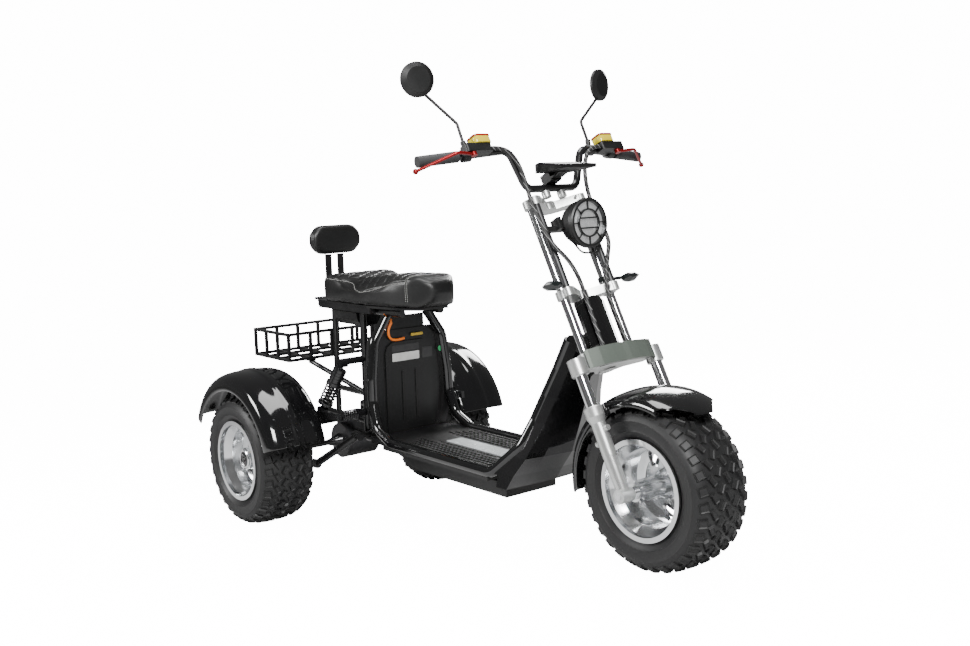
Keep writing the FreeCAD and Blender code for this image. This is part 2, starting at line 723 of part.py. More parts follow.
def rail_run(s, radius):
    """Rolled edge of the body: under the seat, down the box, along the floor, up ahead."""
    y = dim("dims.body_half - dims.lip_radius")
    front = dim("dims.box_front")
    z = dim("dims.floor_top") - 3
    pts = [V(front - 9, s * (y - 112), 730), V(front - 7, s * (y - 27), 604),
           V(front - 3, s * (y - 11), 480), V(front, s * (y - 9), 400),
           V(front + 30, s * (y - 3), 318), V(front + 114, s * y, z), V(1016, s * y, z),
           V(1120, s * 140, 372), V(1138, s * 100, 445), V(1163, s * 76, 520),
           V(1199, s * 60, 600), V(1240, s * 52, 686)]
    return tube_shape(pts, radius, 56)


def battery_box():
    """Moulded housing under the seat: a ribbed front shell with a core behind it."""
    front = dim("dims.box_front") - 14
    rear = dim("dims.box_rear")
    half = dim("dims.body_half - dims.lip_radius")
    low = dim("dims.floor_top") + 0.3
    top = dim("dims.box_top")
    def ring(z, half):
        side = [V(front - 24, half - 8, z), V(front - 18, half, z), V(front + 12, half, z),
                V(front + 12, half - 30, z), V(front, half - 36, z)]
        other = [V(p.x, -p.y, z) for p in reversed(side)]
        return Part.makePolygon(side + other + side[:1])
    heights = [(low, 26), (330, 9), (420, 0), (480, 2), (604, 16), (top, 44)]
    shell = Part.makeLoft([ring(z, half - inset) for z, inset in heights], True, True)
    panel = [(-96, low), (-96, 556), (-88, 580), (-66, 594), (66, 594), (88, 580),
             (96, 556), (96, low)]
    edge = [V(front - 2, y, z) for y, z in panel]
    plate = Part.Face(Part.makePolygon(edge + edge[:1])).extrude(V(8, 0, 0))
    ribs = [Part.makeBox(9, 8, 170, V(front, y - 4, 322)) for y in (-28, 28)]
    core = Part.makeBox(front - 20 - rear, 2 * core_half(), top - 20 - low,
                        V(rear, -core_half(), low))
    rails = both(lambda s: rail_run(s, dim("dims.lip_radius") + 0.3))
    spot = spring_spot()
    rod_hole = Part.makeCylinder(12.3, 400, V(spot.x, -200, spot.z), V(0, 1, 0))
    brow = Part.makeBox(10, 150, under_rails() - 4 - top, V(front - 14, -75, top - 0.5))
    solid = shell.fuse([plate, core, brow] + ribs).cut(rails).cut(rod_hole)
    return feature("box_shell", Part.Compound([solid, seat_tub()]))


def under_tray():
    top = "dims.floor_top - dims.floor_thick - 2 * dims.seat_gap - 2 * dims.frame_radius"
    return box("tray_box", "dims.tray_front - dims.tray_rear", "2 * dims.tray_half",
               "%s - dims.tray_bottom" % top, "dims.tray_rear", "-dims.tray_half",
               "dims.tray_bottom")


def seat_plate():
    """Pan under the saddle: a plate that narrows forwards, with a beam on each side."""
    body = new_body("pan_body")
    low = "dims.seat_low - dims.plate_thick - dims.seat_gap"
    half = [("dims.seat_rear - 12", "dims.seat_half - 16"),
            ("dims.seat_front - 290", "dims.seat_half - 16"),
            ("dims.seat_front - 110", "dims.seat_half - 48"),
            ("dims.seat_front - 60", "dims.seat_half - 84")]
    pad(body, "pan_pad", "XY_Plane", mirrored_outline(half), "dims.plate_thick", False)
    body.setExpression("Placement.Base.z", low)
    items = [body]
    for i, start in enumerate(("-122", "98")):
        items.append(box("seat_beam%d" % i, "dims.box_front - 50", "24", "20",
                         "dims.seat_rear - 8", start, low + " - 20"))
    return fuse("seat_pan", items)


def seat():
    """Long saddle: a side outline padded across, then trimmed to its plan."""
    body = new_body("seat_body")
    top = "dims.seat_low + dims.seat_thick"
    outline = [
        ("dims.seat_rear + 20", "dims.seat_low"),
        ("dims.seat_front - 46", "dims.seat_low"),
        ("dims.seat_front - 12", "dims.seat_low + 20"),
        ("dims.seat_front", "dims.seat_low + 52"),
        ("dims.seat_front - 12", "%s - 16" % top),
        ("dims.seat_front - 50", top),
        ("dims.seat_front - 250", "%s - 2" % top),
        ("dims.seat_rear + 190", "%s - 16" % top),
        ("dims.seat_rear + 70", "%s - 8" % top),
        ("dims.seat_rear + 16", "%s - 26" % top),
        ("dims.seat_rear", "dims.seat_low + 44"),
    ]
    pad(body, "seat_pad", "XZ_Plane", outline, "2 * dims.seat_half")
    plan = new_body("seat_plan")
    around = [
        ("dims.seat_front + 4", "dims.seat_half - 118"),
        ("dims.seat_front - 8", "dims.seat_half - 98"),
        ("dims.seat_front - 30", "dims.seat_half - 76"),
        ("dims.seat_front - 70", "dims.seat_half - 50"),
        ("dims.seat_front - 160", "dims.seat_half - 22"),
        ("dims.seat_rear + 300", "dims.seat_half"),
        ("dims.seat_rear + 60", "dims.seat_half"),
        ("dims.seat_rear + 10", "dims.seat_half - 26"),
        ("dims.seat_rear - 10", "dims.seat_half - 60"),
    ]
    pad(plan, "seat_plan_pad", "XY_Plane", mirrored_outline(around), "2000")
    common = doc.addObject("Part::MultiCommon", "seat_trim")
    common.Shapes = [body, plan]
    return common


def backrest():
    body = new_body("back_body")
    outline = [
        ("-dims.back_half", "dims.back_z - dims.back_height / 2 + 30"),
        ("-dims.back_half + 30", "dims.back_z - dims.back_height / 2"),
        ("dims.back_half - 30", "dims.back_z - dims.back_height / 2"),
        ("dims.back_half", "dims.back_z - dims.back_height / 2 + 30"),
        ("dims.back_half", "dims.back_z + dims.back_height / 2 - 30"),
        ("dims.back_half - 30", "dims.back_z + dims.back_height / 2"),
        ("-dims.back_half + 30", "dims.back_z + dims.back_height / 2"),
        ("-dims.back_half", "dims.back_z + dims.back_height / 2 - 30"),
    ]
    pad(body, "back_pad", "YZ_Plane", outline, "dims.back_thick", False)
    body.setExpression("Placement.Base.x", "dims.back_x - dims.back_thick / 2")
    group = doc.addObject("Part::Compound", "back_set")
    group.Links = [body]
    return group


def back_posts():
    """Two flat posts on a foot that lies behind the saddle's pan."""
    items = []
    for i, side in enumerate(("-", "")):
        items.append(box("post%d" % i, "8", "24",
                         "dims.back_z - dims.back_height / 2 - dims.seat_low",
                         "dims.back_x - 14", side + "26 - 12",
                         "dims.seat_low - dims.seat_gap"))
    items.append(box("post_foot", "dims.seat_rear - 12.3 - dims.back_x + 14",
                     "2 * dims.post_y + 20",
                     "dims.plate_thick", "dims.back_x - 14", "-dims.post_y - 10",
                     "dims.seat_low - dims.plate_thick - dims.seat_gap"))
    return fuse("post_set", items)


def basket():
    """Open basket of square bars: two rings, a floor of bars and uprights."""
    w = dim("dims.rack_bar")
    rear = dim("dims.rack_rear")
    front = dim("dims.rack_front")
    half = dim("dims.rack_half")
    top = dim("dims.rack_top")
    low = dim("dims.rack_low")
    bars = []
    def bar(a, b):
        lo = V(min(a.x, b.x) - w, min(a.y, b.y) - w, min(a.z, b.z) - w)
        size = V(abs(a.x - b.x), abs(a.y - b.y), abs(a.z - b.z)) + V(2 * w, 2 * w, 2 * w)
        bars.append(Part.makeBox(size.x, size.y, size.z, lo))
    x0 = rear + w
    x1 = front - w
    y0 = half - w
    for z in (low + w, top - w):
        bar(V(x0, -y0, z), V(x0, y0, z))
        bar(V(x1, -y0, z), V(x1, y0, z))
        bar(V(x0, -y0, z), V(x1, -y0, z))
        bar(V(x0, y0, z), V(x1, y0, z))
    for i in range(7):
        y = -y0 + i * y0 / 3
        bar(V(x0, y, low + w), V(x0, y, top - w))
        bar(V(x1, y, low + w), V(x1, y, top - w))
        bar(V(x0, y, low + w), V(x1, y, low + w))
    for i in (1, 2):
        x = x0 + i * (x1 - x0) / 3
        for s in (-1, 1):
            bar(V(x, s * y0, low + w), V(x, s * y0, top - w))
        bar(V(x, -y0, low + w), V(x, y0, low + w))
    return feature("basket_bars", bars[0].fuse(bars[1:]))


def basket_struts():
    """Braces from under the basket to the rear posts of the frame."""
    def one(s):
        low = dim("dims.rack_low")
        px = dim("dims.post_x")
        py = dim("dims.post_y")
        strut = tube_shape([V(-20, s * 160, low - 12), V(px, s * py, 400)], 9)
        pad_top = Part.makeBox(40, 24, 10, V(-40, s * 160 - 12, low - 10.3))
        post = Part.makeCylinder(dim("dims.frame_radius + dims.seat_gap"), 500,
                                 V(px, s * py, 200))
        rung = Part.makeCylinder(10.3, 400, V(-120, s * py, 400), V(1, 0, 0))
        top = Part.makeBox(400, 400, 100, V(-200, s * 160 - 200, low - 0.3))
        back_post = Part.makeCylinder(10.3, 500, V(dim("dims.rack_front") + 10.3,
                                                    s * py, 200))
        return strut.fuse(pad_top).cut(post.fuse([rung, top, back_post]))
    return feature("strut_pair", both(one))




def lower_arms():
    """Wishbones, each with two inner eyes and one long outer eye."""
    r = dim("dims.arm_radius")
    along = (from_body(V(1, 0, 0)) - from_body(V(0, 0, 0))).normalize()
    def one(s):
        front, rear, ahead, behind = arm_spots(s)
        legs = [tube_shape([front, ahead], r), tube_shape([rear, behind], r)]
        for spot in (front, rear):
            legs.append(Part.makeCylinder(16, 36, spot - along * 18, along))
        eye = Part.makeCylinder(16, 160, V(-60, ahead.y, ahead.z), V(1, 0, 0))
        return eye.fuse(legs)
    return feature("arm_pair", both(one))


def uprights():
    """Knuckles with stub axles, long spring lugs and the stays for the fenders."""
    axle = dim("dims.tyre_radius")
    y0 = dim("dims.knuckle_y")
    mid = dim("dims.rear_track") / 2
    inner = dim("dims.fender_inner")
    lug_x = dim("dims.lug_x")
    lug_z = dim("dims.lug_z")
    def one(s):
        plate = Part.makeBox(70, 30, 200, V(-35, y0 - 30, 165))
        arm = Part.makeBox(lug_x + 30, 12, 24, V(-10, y0 - 12, lug_z - 12))
        riser = Part.makeBox(40, 12, 60, V(-10, y0 - 12, 340))
        shoulder = Part.makeCylinder(18, mid - 50.3 - y0, V(0, y0, axle), V(0, 1, 0))
        stub = Part.makeCylinder(dim("dims.axle_radius"), mid + 62 - y0,
                                 V(0, y0, axle), V(0, 1, 0))
        nut = Part.makeCylinder(15, 12, V(0, mid + 50.3, axle), V(0, 1, 0))
        stay = Part.makeBox(40, inner - 0.3 - y0 + 8, 130, V(-20, y0 - 8, 360))
        shape = plate.fuse([arm, riser, shoulder, stub, nut, stay])
        if s < 0:
            shape = shape.mirror(V(0, 0, 0), V(0, 1, 0))
        return shape
    return feature("upright_pair", both(one))


def shocks():
    """Coil-over dampers with a grooved can above an open spring."""
    def one(s):
        top = from_body(V(dim("dims.post_x") + 26.6, 188, 524))
        low = V(200, dim("dims.knuckle_y") - 26.6, dim("dims.lug_z") + 14)
        along = (low - top).normalize()
        length = (low - top).Length
        can = Part.makeCylinder(22, 60, top + along * 22, along)
        bands = [Part.makeCylinder(24, 6, top + along * (24 + 11 * i), along)
                 for i in range(4)]
        core = Part.makeCylinder(8, length, top, along)
        collar = Part.makeCylinder(27, 11, top + along * 73, along)
        seat = Part.makeCylinder(27, 9, low - along * 30, along)
        spring = coil(22, 3.4, 12, length - 104.5)
        spring.Placement = FreeCAD.Placement(top + along * 79,
                                             FreeCAD.Rotation(V(0, 0, 1), along))
        upper = Part.makeCylinder(14, 28, top - V(0, 14.3, 0), V(0, 1, 0))
        lower = Part.makeCylinder(14, 28, low - V(0, 14, 0), V(0, 1, 0))
        shape = can.fuse(bands + [core, collar, seat, spring, upper, lower])
        if s < 0:
            shape = shape.mirror(V(0, 0, 0), V(0, 1, 0))
        return shape
    return feature("shock_pair", both(one))


def side_springs():
    """Cross springs between the body's sides and the forward lugs of the knuckles."""
    def one(s):
        x = dim("dims.lug_x")
        z = dim("dims.lug_z")
        start = dim("dims.body_half - dims.lip_radius") + 0.3
        a = V(x, start + 4, z)
        b = V(x, dim("dims.knuckle_y") - 12.3, z)
        core = Part.makeCylinder(7, (b - a).Length, a, V(0, 1, 0))
        eye = Part.makeBox(26, 8, 30, V(x - 13, start, z - 15))
        reach = b.y - start - 30
        cups = [Part.makeCylinder(17, 4, V(x, start + 12, z), V(0, 1, 0)),
                Part.makeCylinder(17, 4, V(x, start + 16 + reach, z), V(0, 1, 0))]
        spring = coil(14, 2.6, 8.5, reach)
        spring.Placement = FreeCAD.Placement(V(x, start + 16, z),
                                             FreeCAD.Rotation(V(1, 0, 0), -90))
        shape = core.fuse([eye, spring] + cups)
        if s < 0:
            shape = shape.mirror(V(0, 0, 0), V(0, 1, 0))
        return shape
    return feature("side_spring_pair", both(one))


def fenders():
    """Deep rear fenders with a ridge along the crest and skirts on both sides."""
    r = dim("dims.fender_radius")
    a = dim("dims.fender_inner")
    b = dim("dims.fender_outer")
    mid = (a + b) / 2
    axle = dim("dims.tyre_radius")
    wall = dim("dims.fender_wall")
    def one(s):
        line = [(r - 66, a), (r - 40, a + 2), (r - 22, a + 12), (r - 12, a + 30),
                (r - 6, a + 58), (r - 4, mid - 18), (r, mid - 10), (r, mid + 10),
                (r - 4, mid + 18), (r - 6, b - 58), (r - 12, b - 30), (r - 22, b - 12),
                (r - 40, b - 2), (r - 66, b)]
        shape = arch(shell_section(line, wall), 12, 140)
        bead = [(r - 72, b - 5), (r - 66, b - 7), (r - 62, b - 4), (r - 66, b)]
        shape = shape.fuse(arch(bead, 12, 140))
        if s < 0:
            shape = shape.mirror(V(0, 0, 0), V(0, 1, 0))
        shape.translate(V(0, 0, axle))
        return shape
    return feature("fender_pair", both(one))


def drive_unit():
    """Motor and differential block between the wheels."""
    axle = dim("dims.tyre_radius")
    wide = dim("dims.post_y") - 14
    middle = pitched(V(6, 0, axle), -1)
    block = Part.makeCylinder(64, 2 * wide, V(middle.x, -wide, middle.z), V(0, 1, 0))
    rear = dim("dims.arm_rear") + 12.3
    reach = dim("dims.post_x - dims.frame_radius - dims.seat_gap") - rear
    lug = Part.makeBox(reach, 90, 30, V(rear, -45, dim("dims.arm_height") - 15))
    return feature("drive_block", block.fuse(lug))


def half_shafts():
    """Drive shafts with a ribbed boot at each end."""
    axle = dim("dims.tyre_radius")
    start = dim("dims.post_y") - 13.7
    reach = dim("dims.knuckle_y") - 30.3 - start
    def one(s):
        pieces = [Part.makeCylinder(10, reach, V(0, s * start, axle), V(0, s, 0))]
        for i in range(4):
            pieces.append(Part.makeCone(26 - 4 * i, 20 - 3 * i, 12,
                                        V(0, s * (start + 12 * i), axle), V(0, s, 0)))
        return pieces[0].fuse(pieces[1:])
    return feature("shaft_pair", both(one))


def pitched(p, way):
    """Turns a point about the body's pivot, out of the body's level or into it."""
    a = math.radians(dim("dims.body_pitch")) * way
    pivot = point("dims.pivot_x", 0, "dims.pivot_z")
    d = p - pivot
    x = d.x * math.cos(a) + d.z * math.sin(a)
    z = -d.x * math.sin(a) + d.z * math.cos(a)
    return pivot + V(x, d.y, z)


def from_body(p):
    """Point of the body's own level, in the vehicle frame."""
    return pitched(p, 1)


def polygon_ring(name, radius, y, sides):
    """Many-sided ring about the wheel axis, at one place across the wheel."""
    ring = doc.addObject("Part::RegularPolygon", name)
    bind(ring, Polygon=sides, Circumradius=radius)
    return put(ring, "0", y, "0", FreeCAD.Rotation(V(1, 0, 0), 90))


def tread(count):
    """Ring of slanted lugs on each shoulder and one down the middle."""
    top = math.sqrt(dim("dims.tyre_radius") ** 2 - 17 ** 2)
    half = dim("dims.tyre_width") / 2
    depth = dim("dims.lug_height") + 5
    shoulder = Part.Face(Part.makePolygon([
        V(-9, 20, 0), V(10, 20, 0), V(17, half - 46, 0), V(8, half - 30, 0),
        V(-11, half - 30, 0), V(-4, half - 46, 0), V(-9, 20, 0)]))
    lug = shoulder.extrude(V(0, 0, depth))
    lug.translate(V(0, 0, top - depth))
    other = lug.mirror(V(0, 0, 0), V(0, 1, 0))
    step = 360.0 / count
    lugs = []
    for i in range(count):
        for j, kind in enumerate((lug, other)):
            one = kind.copy()
            one.rotate(V(0, 0, 0), V(0, 1, 0), (i + 0.5 * j) * step)
            lugs.append(one)
    return Part.Compound(lugs)


def bar_points(s):
    """Middle, flat end, bend and end of one half of the handlebar, in the fork frame."""
    rise = dim("dims.top_clamp + dims.top_clamp_height") + 30
    middle = V(dim("dims.fork_offset"), 0, rise)
    flat = V(dim("dims.fork_offset"), s * dim("dims.bar_flat_y"), rise)
    bend = point("dims.bar_bend_x", "dims.bar_bend_y", "dims.bar_bend_z")
    end = point("dims.bar_end_x", "dims.bar_end_y", "dims.bar_end_z")
    return middle, flat, to_fork(V(bend.x, s * bend.y, bend.z)), to_fork(V(end.x, s * end.y, end.z))


def arch(points, start, sweep):
    """Turns a cross-section of X across Y about the wheel axis, from low to high."""
    corners = [V(a, b, 0) for a, b in points]
    face = Part.Face(Part.makePolygon(corners + corners[:1]))
    shape = face.revolve(V(0, 0, 0), V(0, -1, 0), sweep)
    shape.rotate(V(0, 0, 0), V(0, -1, 0), start)
    return shape


def shell_section(points, wall):
    """Outer points of a curved section, and the same points one wall further in."""
    inner = []
    for i in range(len(points)):
        a = V(*points[max(i - 1, 0)], 0)
        b = V(*points[min(i + 1, len(points) - 1)], 0)
        along = (b - a).normalize()
        inner.append((points[i][0] - along.y * wall, points[i][1] + along.x * wall))
    return points + inner[::-1]


def head_ends():
    low = steer_x(0, dim("dims.crown_low + dims.crown_height + dims.head_gap"))
    high = steer_x(0, dim("dims.mid_clamp - dims.head_gap"))
    return low, high


def arm_spots(s):
    """Inner eyes of a wishbone and the two ends of its outer eye."""
    y = s * (dim("dims.arm_inner") + 16.3)
    z = dim("dims.arm_height")
    front = from_body(V(dim("dims.arm_front"), y, z))
    rear = from_body(V(dim("dims.arm_rear"), y, z))
    ky = s * (dim("dims.knuckle_y") - 30 - 16.3)
    low = dim("dims.arm_low")
    return front, rear, V(90, ky, low), V(-50, ky, low)


def mirror_clamp():
    """Ring on the bar that a mirror stalk screws into."""
    spot, along = mirror_spot()
    ring = Part.makeCylinder(17, 20, spot, along)
    hole = Part.makeCylinder(dim("dims.bar_radius + dims.seat_gap"), 60,
                             spot - along * 20, along)
    return ring.cut(hole)


def mirror_spot():
    """Start of the left mirror's clamp on the bar, and the way outwards."""
    middle, flat, bend, end = bar_points(1)
    along = (end - bend).normalize()
    return bend + along * 34, along


def rim_well(way, inner, outer):
    """Well and lips of a rim, up to the two radii where the web meets it."""
    near = [
        (inner, "%d * (dims.rim_width / 2 - 40)" % way),
        ("dims.bead_radius - dims.rim_wall", "%d * (dims.rim_width / 2 - 16)" % way),
        ("dims.bead_radius - dims.rim_wall", "%d * dims.rim_width / 2" % way),
        ("dims.rim_radius", "%d * dims.rim_width / 2" % way),
        ("dims.rim_radius", "%d * (dims.rim_width / 2 - 7)" % way),
        ("dims.bead_radius", "%d * (dims.rim_width / 2 - 9)" % way),
        ("dims.bead_radius", "%d * (dims.rim_width / 2 - 26)" % way),
        ("dims.bead_radius - 14", "%d * (dims.rim_width / 2 - 40)" % way),
    ]
    far = [(r, y.replace("%d * " % way, "%d * " % -way)) for r, y in reversed(near)]
    far[-1] = (outer, far[-1][1])
    return near + far


def spread(body, name, part, count):
    """Repeats a feature of a body in a ring about its Y axis."""
    ring = body.newObject("PartDesign::PolarPattern", name)
    ring.Originals = [part]
    line = [o for o in body.Origin.OriginFeatures if o.Role == "Y_Axis"]
    ring.Axis = (line[0], [""])
    ring.Angle = 360
    ring.Occurrences = count
    body.Tip = ring
    return ring


def front_rim():
    """Deep dish seen from the right, with five drop-shaped windows and a ribbed hub."""
    body = new_body("front_rim_body")
    bore = "dims.axle_radius + dims.bore_gap"
    well = "dims.bead_radius - 22"
    outline = [
        (bore, "-dims.hub_reach"), ("dims.hub_radius - 9", "-dims.hub_reach"),
        ("dims.hub_radius - 7", "-16"), ("dims.hub_radius + 8", "10"),
        ("dims.hub_radius + 48", "20"), (well, "14"),
    ]
    outline += rim_well(-1, well, well)
    outline += [
        (well, "30"), ("dims.hub_radius + 44", "34"), ("dims.hub_radius + 6", "34"),
        ("dims.hub_radius", "40"), ("dims.hub_radius", "60"), (bore, "60"),
    ]
    turned(body, "front_rim_turn", "XY_Plane", outline, "Y_Axis")
    drop = [(105, 0), (91, 14), (77, 21), (64, 19), (55, 10), (52, 0), (55, -10), (64, -19),
            (77, -21), (91, -14)]
    window = pocket(body, "front_window", "XZ_Plane", turned_points(drop, -20), "120")
    spread(body, "front_windows", window, 5)
    rib = [("dims.hub_radius - 12", "-3"), ("dims.hub_radius - 4", "-2"),
           ("dims.hub_radius - 4", "2"), ("dims.hub_radius - 12", "3")]
    ridge = pad(body, "hub_rib", "XZ_Plane", rib, "dims.hub_reach - 12", False)
    spread(body, "hub_ribs", ridge, 10)
    return keep(body, "front_rim", "front_wheel")


def turned_points(points, angle):
    """Flat points turned about the origin, by an angle in degrees."""
    a = math.radians(angle)
    c = math.cos(a)
    s = math.sin(a)
    return [(x * c - y * s, x * s + y * c) for x, y in points]


def rear_rim(label, way):
    """Smooth outer bowl with five slots round a hub that stands proud."""
    body = new_body(label + "_body")
    bore = "dims.axle_radius + dims.bore_gap"
    well = "dims.bead_radius - 22"
    def across(y):
        return "%d * (%s)" % (way, y)
    outline = [
        (bore, across("-50")), ("dims.hub_radius", across("-50")),
        ("dims.hub_radius", across("6")), ("dims.hub_radius + 18", across("-2")),
        ("dims.hub_radius + 46", across("-6")), (well, across("-2")),
    ]
    outline += rim_well(-way, well, well)
    outline += [
        (well, across("12")), ("dims.hub_radius + 54", across("4")),
        ("dims.hub_radius + 32", across("6")), ("dims.hub_radius + 14", across("14")),
        ("dims.hub_radius + 6", across("30")), ("dims.hub_radius + 4", across("58")),
        ("dims.hub_radius - 5", across("60")), ("dims.hub_radius - 7", across("50")),
        (bore, across("50")),
    ]
    turned(body, label + "_turn", "XY_Plane", outline, "Y_Axis")
    slot = [(58, -6), (62, -9), (90, -9), (95, -5), (95, 5), (90, 9), (62, 9), (58, 6)]
    first = pocket(body, label + "_slot", "XZ_Plane", slot, "60")
    spread(body, label + "_slots", first, 5)
    side = "left" if way > 0 else "right"
    return keep(body, "rear_rim_" + side, "rear_wheel", way)


def fork_sleeves():
    """Dark tubes that stand in front of the slim ones, between the two upper clamps."""
    items = []
    foot = "dims.mid_clamp + dims.mid_clamp_height"
    for i, side in enumerate(("-", "")):
        items.append(rod("sleeve%d" % i, "dims.sleeve_radius", "dims.top_clamp - (%s)" % foot,
                         "dims.upper_x + dims.upper_radius + dims.sleeve_radius + 0.6",
                         side + "dims.upper_spread", foot))
    group = doc.addObject("Part::Compound", "fork_sleeves_set")
    group.Links = items
    return group


def mirrored_outline(half):
    """Outline even in Y, from the points of its left half, first and last off the axis."""
    other = [(x, "-(%s)" % y) for x, y in reversed(half)]
    return half + other


def crown_cover():
    """Curved guard band on the front of the yoke."""
    body = new_body("cover_body")
    front = [("dims.fork_offset + 24", "dims.leg_spread - 19"),
             ("dims.fork_offset + 31", "dims.leg_spread - 26"),
             ("dims.fork_offset + 43", "90"), ("dims.fork_offset + 50", "46"),
             ("dims.fork_offset + 52", "12")]
    back = [("dims.fork_offset + 38.3", "10"), ("dims.fork_offset + 35.3", "46"),
            ("dims.fork_offset + 24.4", "92.4")]
    half = front[::-1]
    other = [(x, "-(%s)" % y) for x, y in front]
    rear = back[::-1] + [(x, "-(%s)" % y) for x, y in back]
    around = half + rear + other[::-1]
    pad(body, "cover_pad", "XY_Plane", around, "dims.crown_height + 2", False)
    body.setExpression("Placement.Base.z", "dims.crown_low - 1")
    group = doc.addObject("Part::Compound", "cover_set")
    group.Links = [body]
    return group


def brake_disc():
    """Steel disc screwed to the left end of the front hub."""
    face = 60.3
    along = V(0, 1, 0)
    ring = Part.makeCylinder(90, 4, V(0, face, 0), along)
    ring = ring.cut(Part.makeCylinder(62, 4, V(0, face, 0), along))
    middle = Part.makeCylinder(30, 4, V(0, face, 0), along)
    bore = Part.makeCylinder(17, 4, V(0, face, 0), along)
    arms = []
    for i in range(6):
        arm = Part.makeBox(44, 4, 12, V(24, face, -6))
        arm.rotate(V(0, 0, 0), along, i * 60)
        arms.append(arm)
    return feature("disc_ring", ring.fuse([middle] + arms).cut(bore))


def brake_caliper():
    """Caliper over the disc, on a bracket from the left leg."""
    x = dim("dims.fork_offset")
    leg = dim("dims.leg_spread - dims.leg_radius")
    body = Part.makeBox(42, 42, 44, V(60, 45, -22))
    slot = Part.makeBox(60, 8, 60, V(40, 58.3, -30))
    link = Part.makeBox(30, 30, 26, V(68, 80, -13))
    claw = body.cut(slot).fuse(link)
    claw.rotate(V(0, 0, 0), V(0, 1, 0), -52)
    claw.translate(V(x, 0, 0))
    arm = Part.makeBox(62, leg - 104 + 6, 26, V(x + 2, 104, 56))
    tube = Part.makeCylinder(dim("dims.leg_radius") + 0.3, 300,
                             V(x, dim("dims.leg_spread"), -60), V(0, 0, 1))
    return feature("caliper_body", claw.fuse(arm).cut(tube))


def lamp_spot():
    """Where the lamp's face looks level and forward, in the fork's frame."""
    turn = FreeCAD.Rotation(V(0, 1, 0), dim("dims.rake")).multiply(
        FreeCAD.Rotation(V(0, 0, 1), -90))
    return FreeCAD.Placement(V(135, 0, 740), turn)


def lamp_grille():
    """Inner ring with two level bars, held by eight spokes in front of the glass."""
    r = dim("dims.grille_radius")
    ring = Part.makeCylinder(r, 7, V(0, -6, 0), V(0, 1, 0))
    ring = ring.cut(Part.makeCylinder(r - 4, 7, V(0, -6, 0), V(0, 1, 0)))
    pieces = []
    for i in range(8):
        spoke = Part.makeBox(63 - r + 2, 5, 3, V(r - 2, -5, -1.5))
        spoke.rotate(V(0, 0, 0), V(0, 1, 0), i * 45)
        pieces.append(spoke)
    for z in (-14, 14):
        half = math.sqrt(r * r - 14 * 14) - 1
        pieces.append(Part.makeBox(2 * half, 5, 4, V(-half, -5, z - 2)))
    return ring.fuse(pieces)


def headlight_lens():
    """Shallow glass behind the grille."""
    body = new_body("lens_body")
    outline = [("0", "-11.7"), ("59.7", "-11.7"), ("59.7", "-9.5"), ("30", "-7.8"),
               ("0", "-7")]
    turned(body, "lens_turn", "XY_Plane", outline, "Y_Axis")
    body.Placement = lamp_spot()
    group = doc.addObject("Part::Compound", "lens_set")
    group.Links = [body]
    return group


def brake_levers():
    """Flat levers under the heads, bent along the grips to a ball end."""
    def one(s):
        ring, along, m = control_spot(s)
        tip = to_fork(V(1139, s * 436, 1120))
        knee = m + V(18, s * 70, -17.3)
        root = m + V(6, s * 8, -17.3)
        lever = tube_shape([root, knee, tip], 4.6, 20)
        ball = Part.makeSphere(8, tip)
        pivot = Part.makeCylinder(9, 10, m + V(6, s * 8, -22.4), V(0, 0, 1))
        return lever.fuse([ball, pivot])
    return feature("lever_pair", both(one))


def brake_cups():
    """Oblong fluid cups on the heads, each with a wider cap."""
    def one(s):
        ring, along, m = control_spot(s)
        pieces = []
        for long, wide, high, rise in ((54, 32, 18, 12.3), (60, 36, 8, 30.3)):
            block = Part.makeBox(wide, long, high,
                                 V(m.x - wide / 2, m.y - s * 31 - long / 2, m.z + rise))
            upright = [e for e in block.Edges if abs(e.Length - high) < 0.1]
            pieces.append(block.makeFillet(12, upright))
        return pieces[0].fuse(pieces[1])
    return feature("cup_pair", both(one))


def looms():
    """Cable bundles from the two controls, down the front of the fork to the yoke."""
    foot = dim("dims.crown_low + dims.crown_height") - 2.7
    route = [(88, 210, 1005), (95, 166, 1003), (84, 128, 962), (70, 115, 900),
             (62, 114, 840), (68, 112, 775), (80, 112, 708), (84, 76, 656)]
    route += [(74, 52, 604), (64, 44, 550), (62, 44, 492), (62, 46, 440), (62, 46, foot)]
    def one(s):
        return tube_shape([V(x, s * y, z) for x, y, z in route], 5, None)
    return feature("loom_pair", both(one))


def steered_to_body(x, y, z):
    """Body point of any point of the fork's frame at rest."""
    p = steer_x(x, z)
    return V(p.x, y, p.z)


def neck_cover():
    """Black guard in front of the steering head, with its top corners cut."""
    low = dim("dims.crown_low + dims.crown_height") + 7
    high = dim("dims.mid_clamp") - 7
    plan = [(-6, -27), (18, -42), (42, -40), (50, -26), (52, 0), (50, 26), (42, 40),
            (18, 42), (-6, 27)]
    rings = []
    for z, size in ((low, 0.86), (low + 12, 1.0), (high - 16, 1.0), (high, 0.72)):
        ring = [steered_to_body(x, y * size, z) for x, y in plan]
        rings.append(Part.makePolygon(ring + ring[:1]))
    shell = Part.makeLoft(rings, True, True)
    a, b = head_ends()
    tube = Part.makeCylinder(dim("dims.head_radius + dims.seat_gap"), (b - a).Length + 40,
                             a - (b - a).normalize() * 20, b - a)
    return shell.cut(tube)


def control_head(s, m):
    """Oblong head of a brake control, longer towards the middle of the bar."""
    outer = m.y + s * 33
    inner = m.y - s * 57
    head = Part.makeBox(34, 90, 24, V(m.x - 17, min(outer, inner), m.z - 12))
    return head.makeFillet(7, [e for e in head.Edges if abs(e.Length - 24) < 0.1])


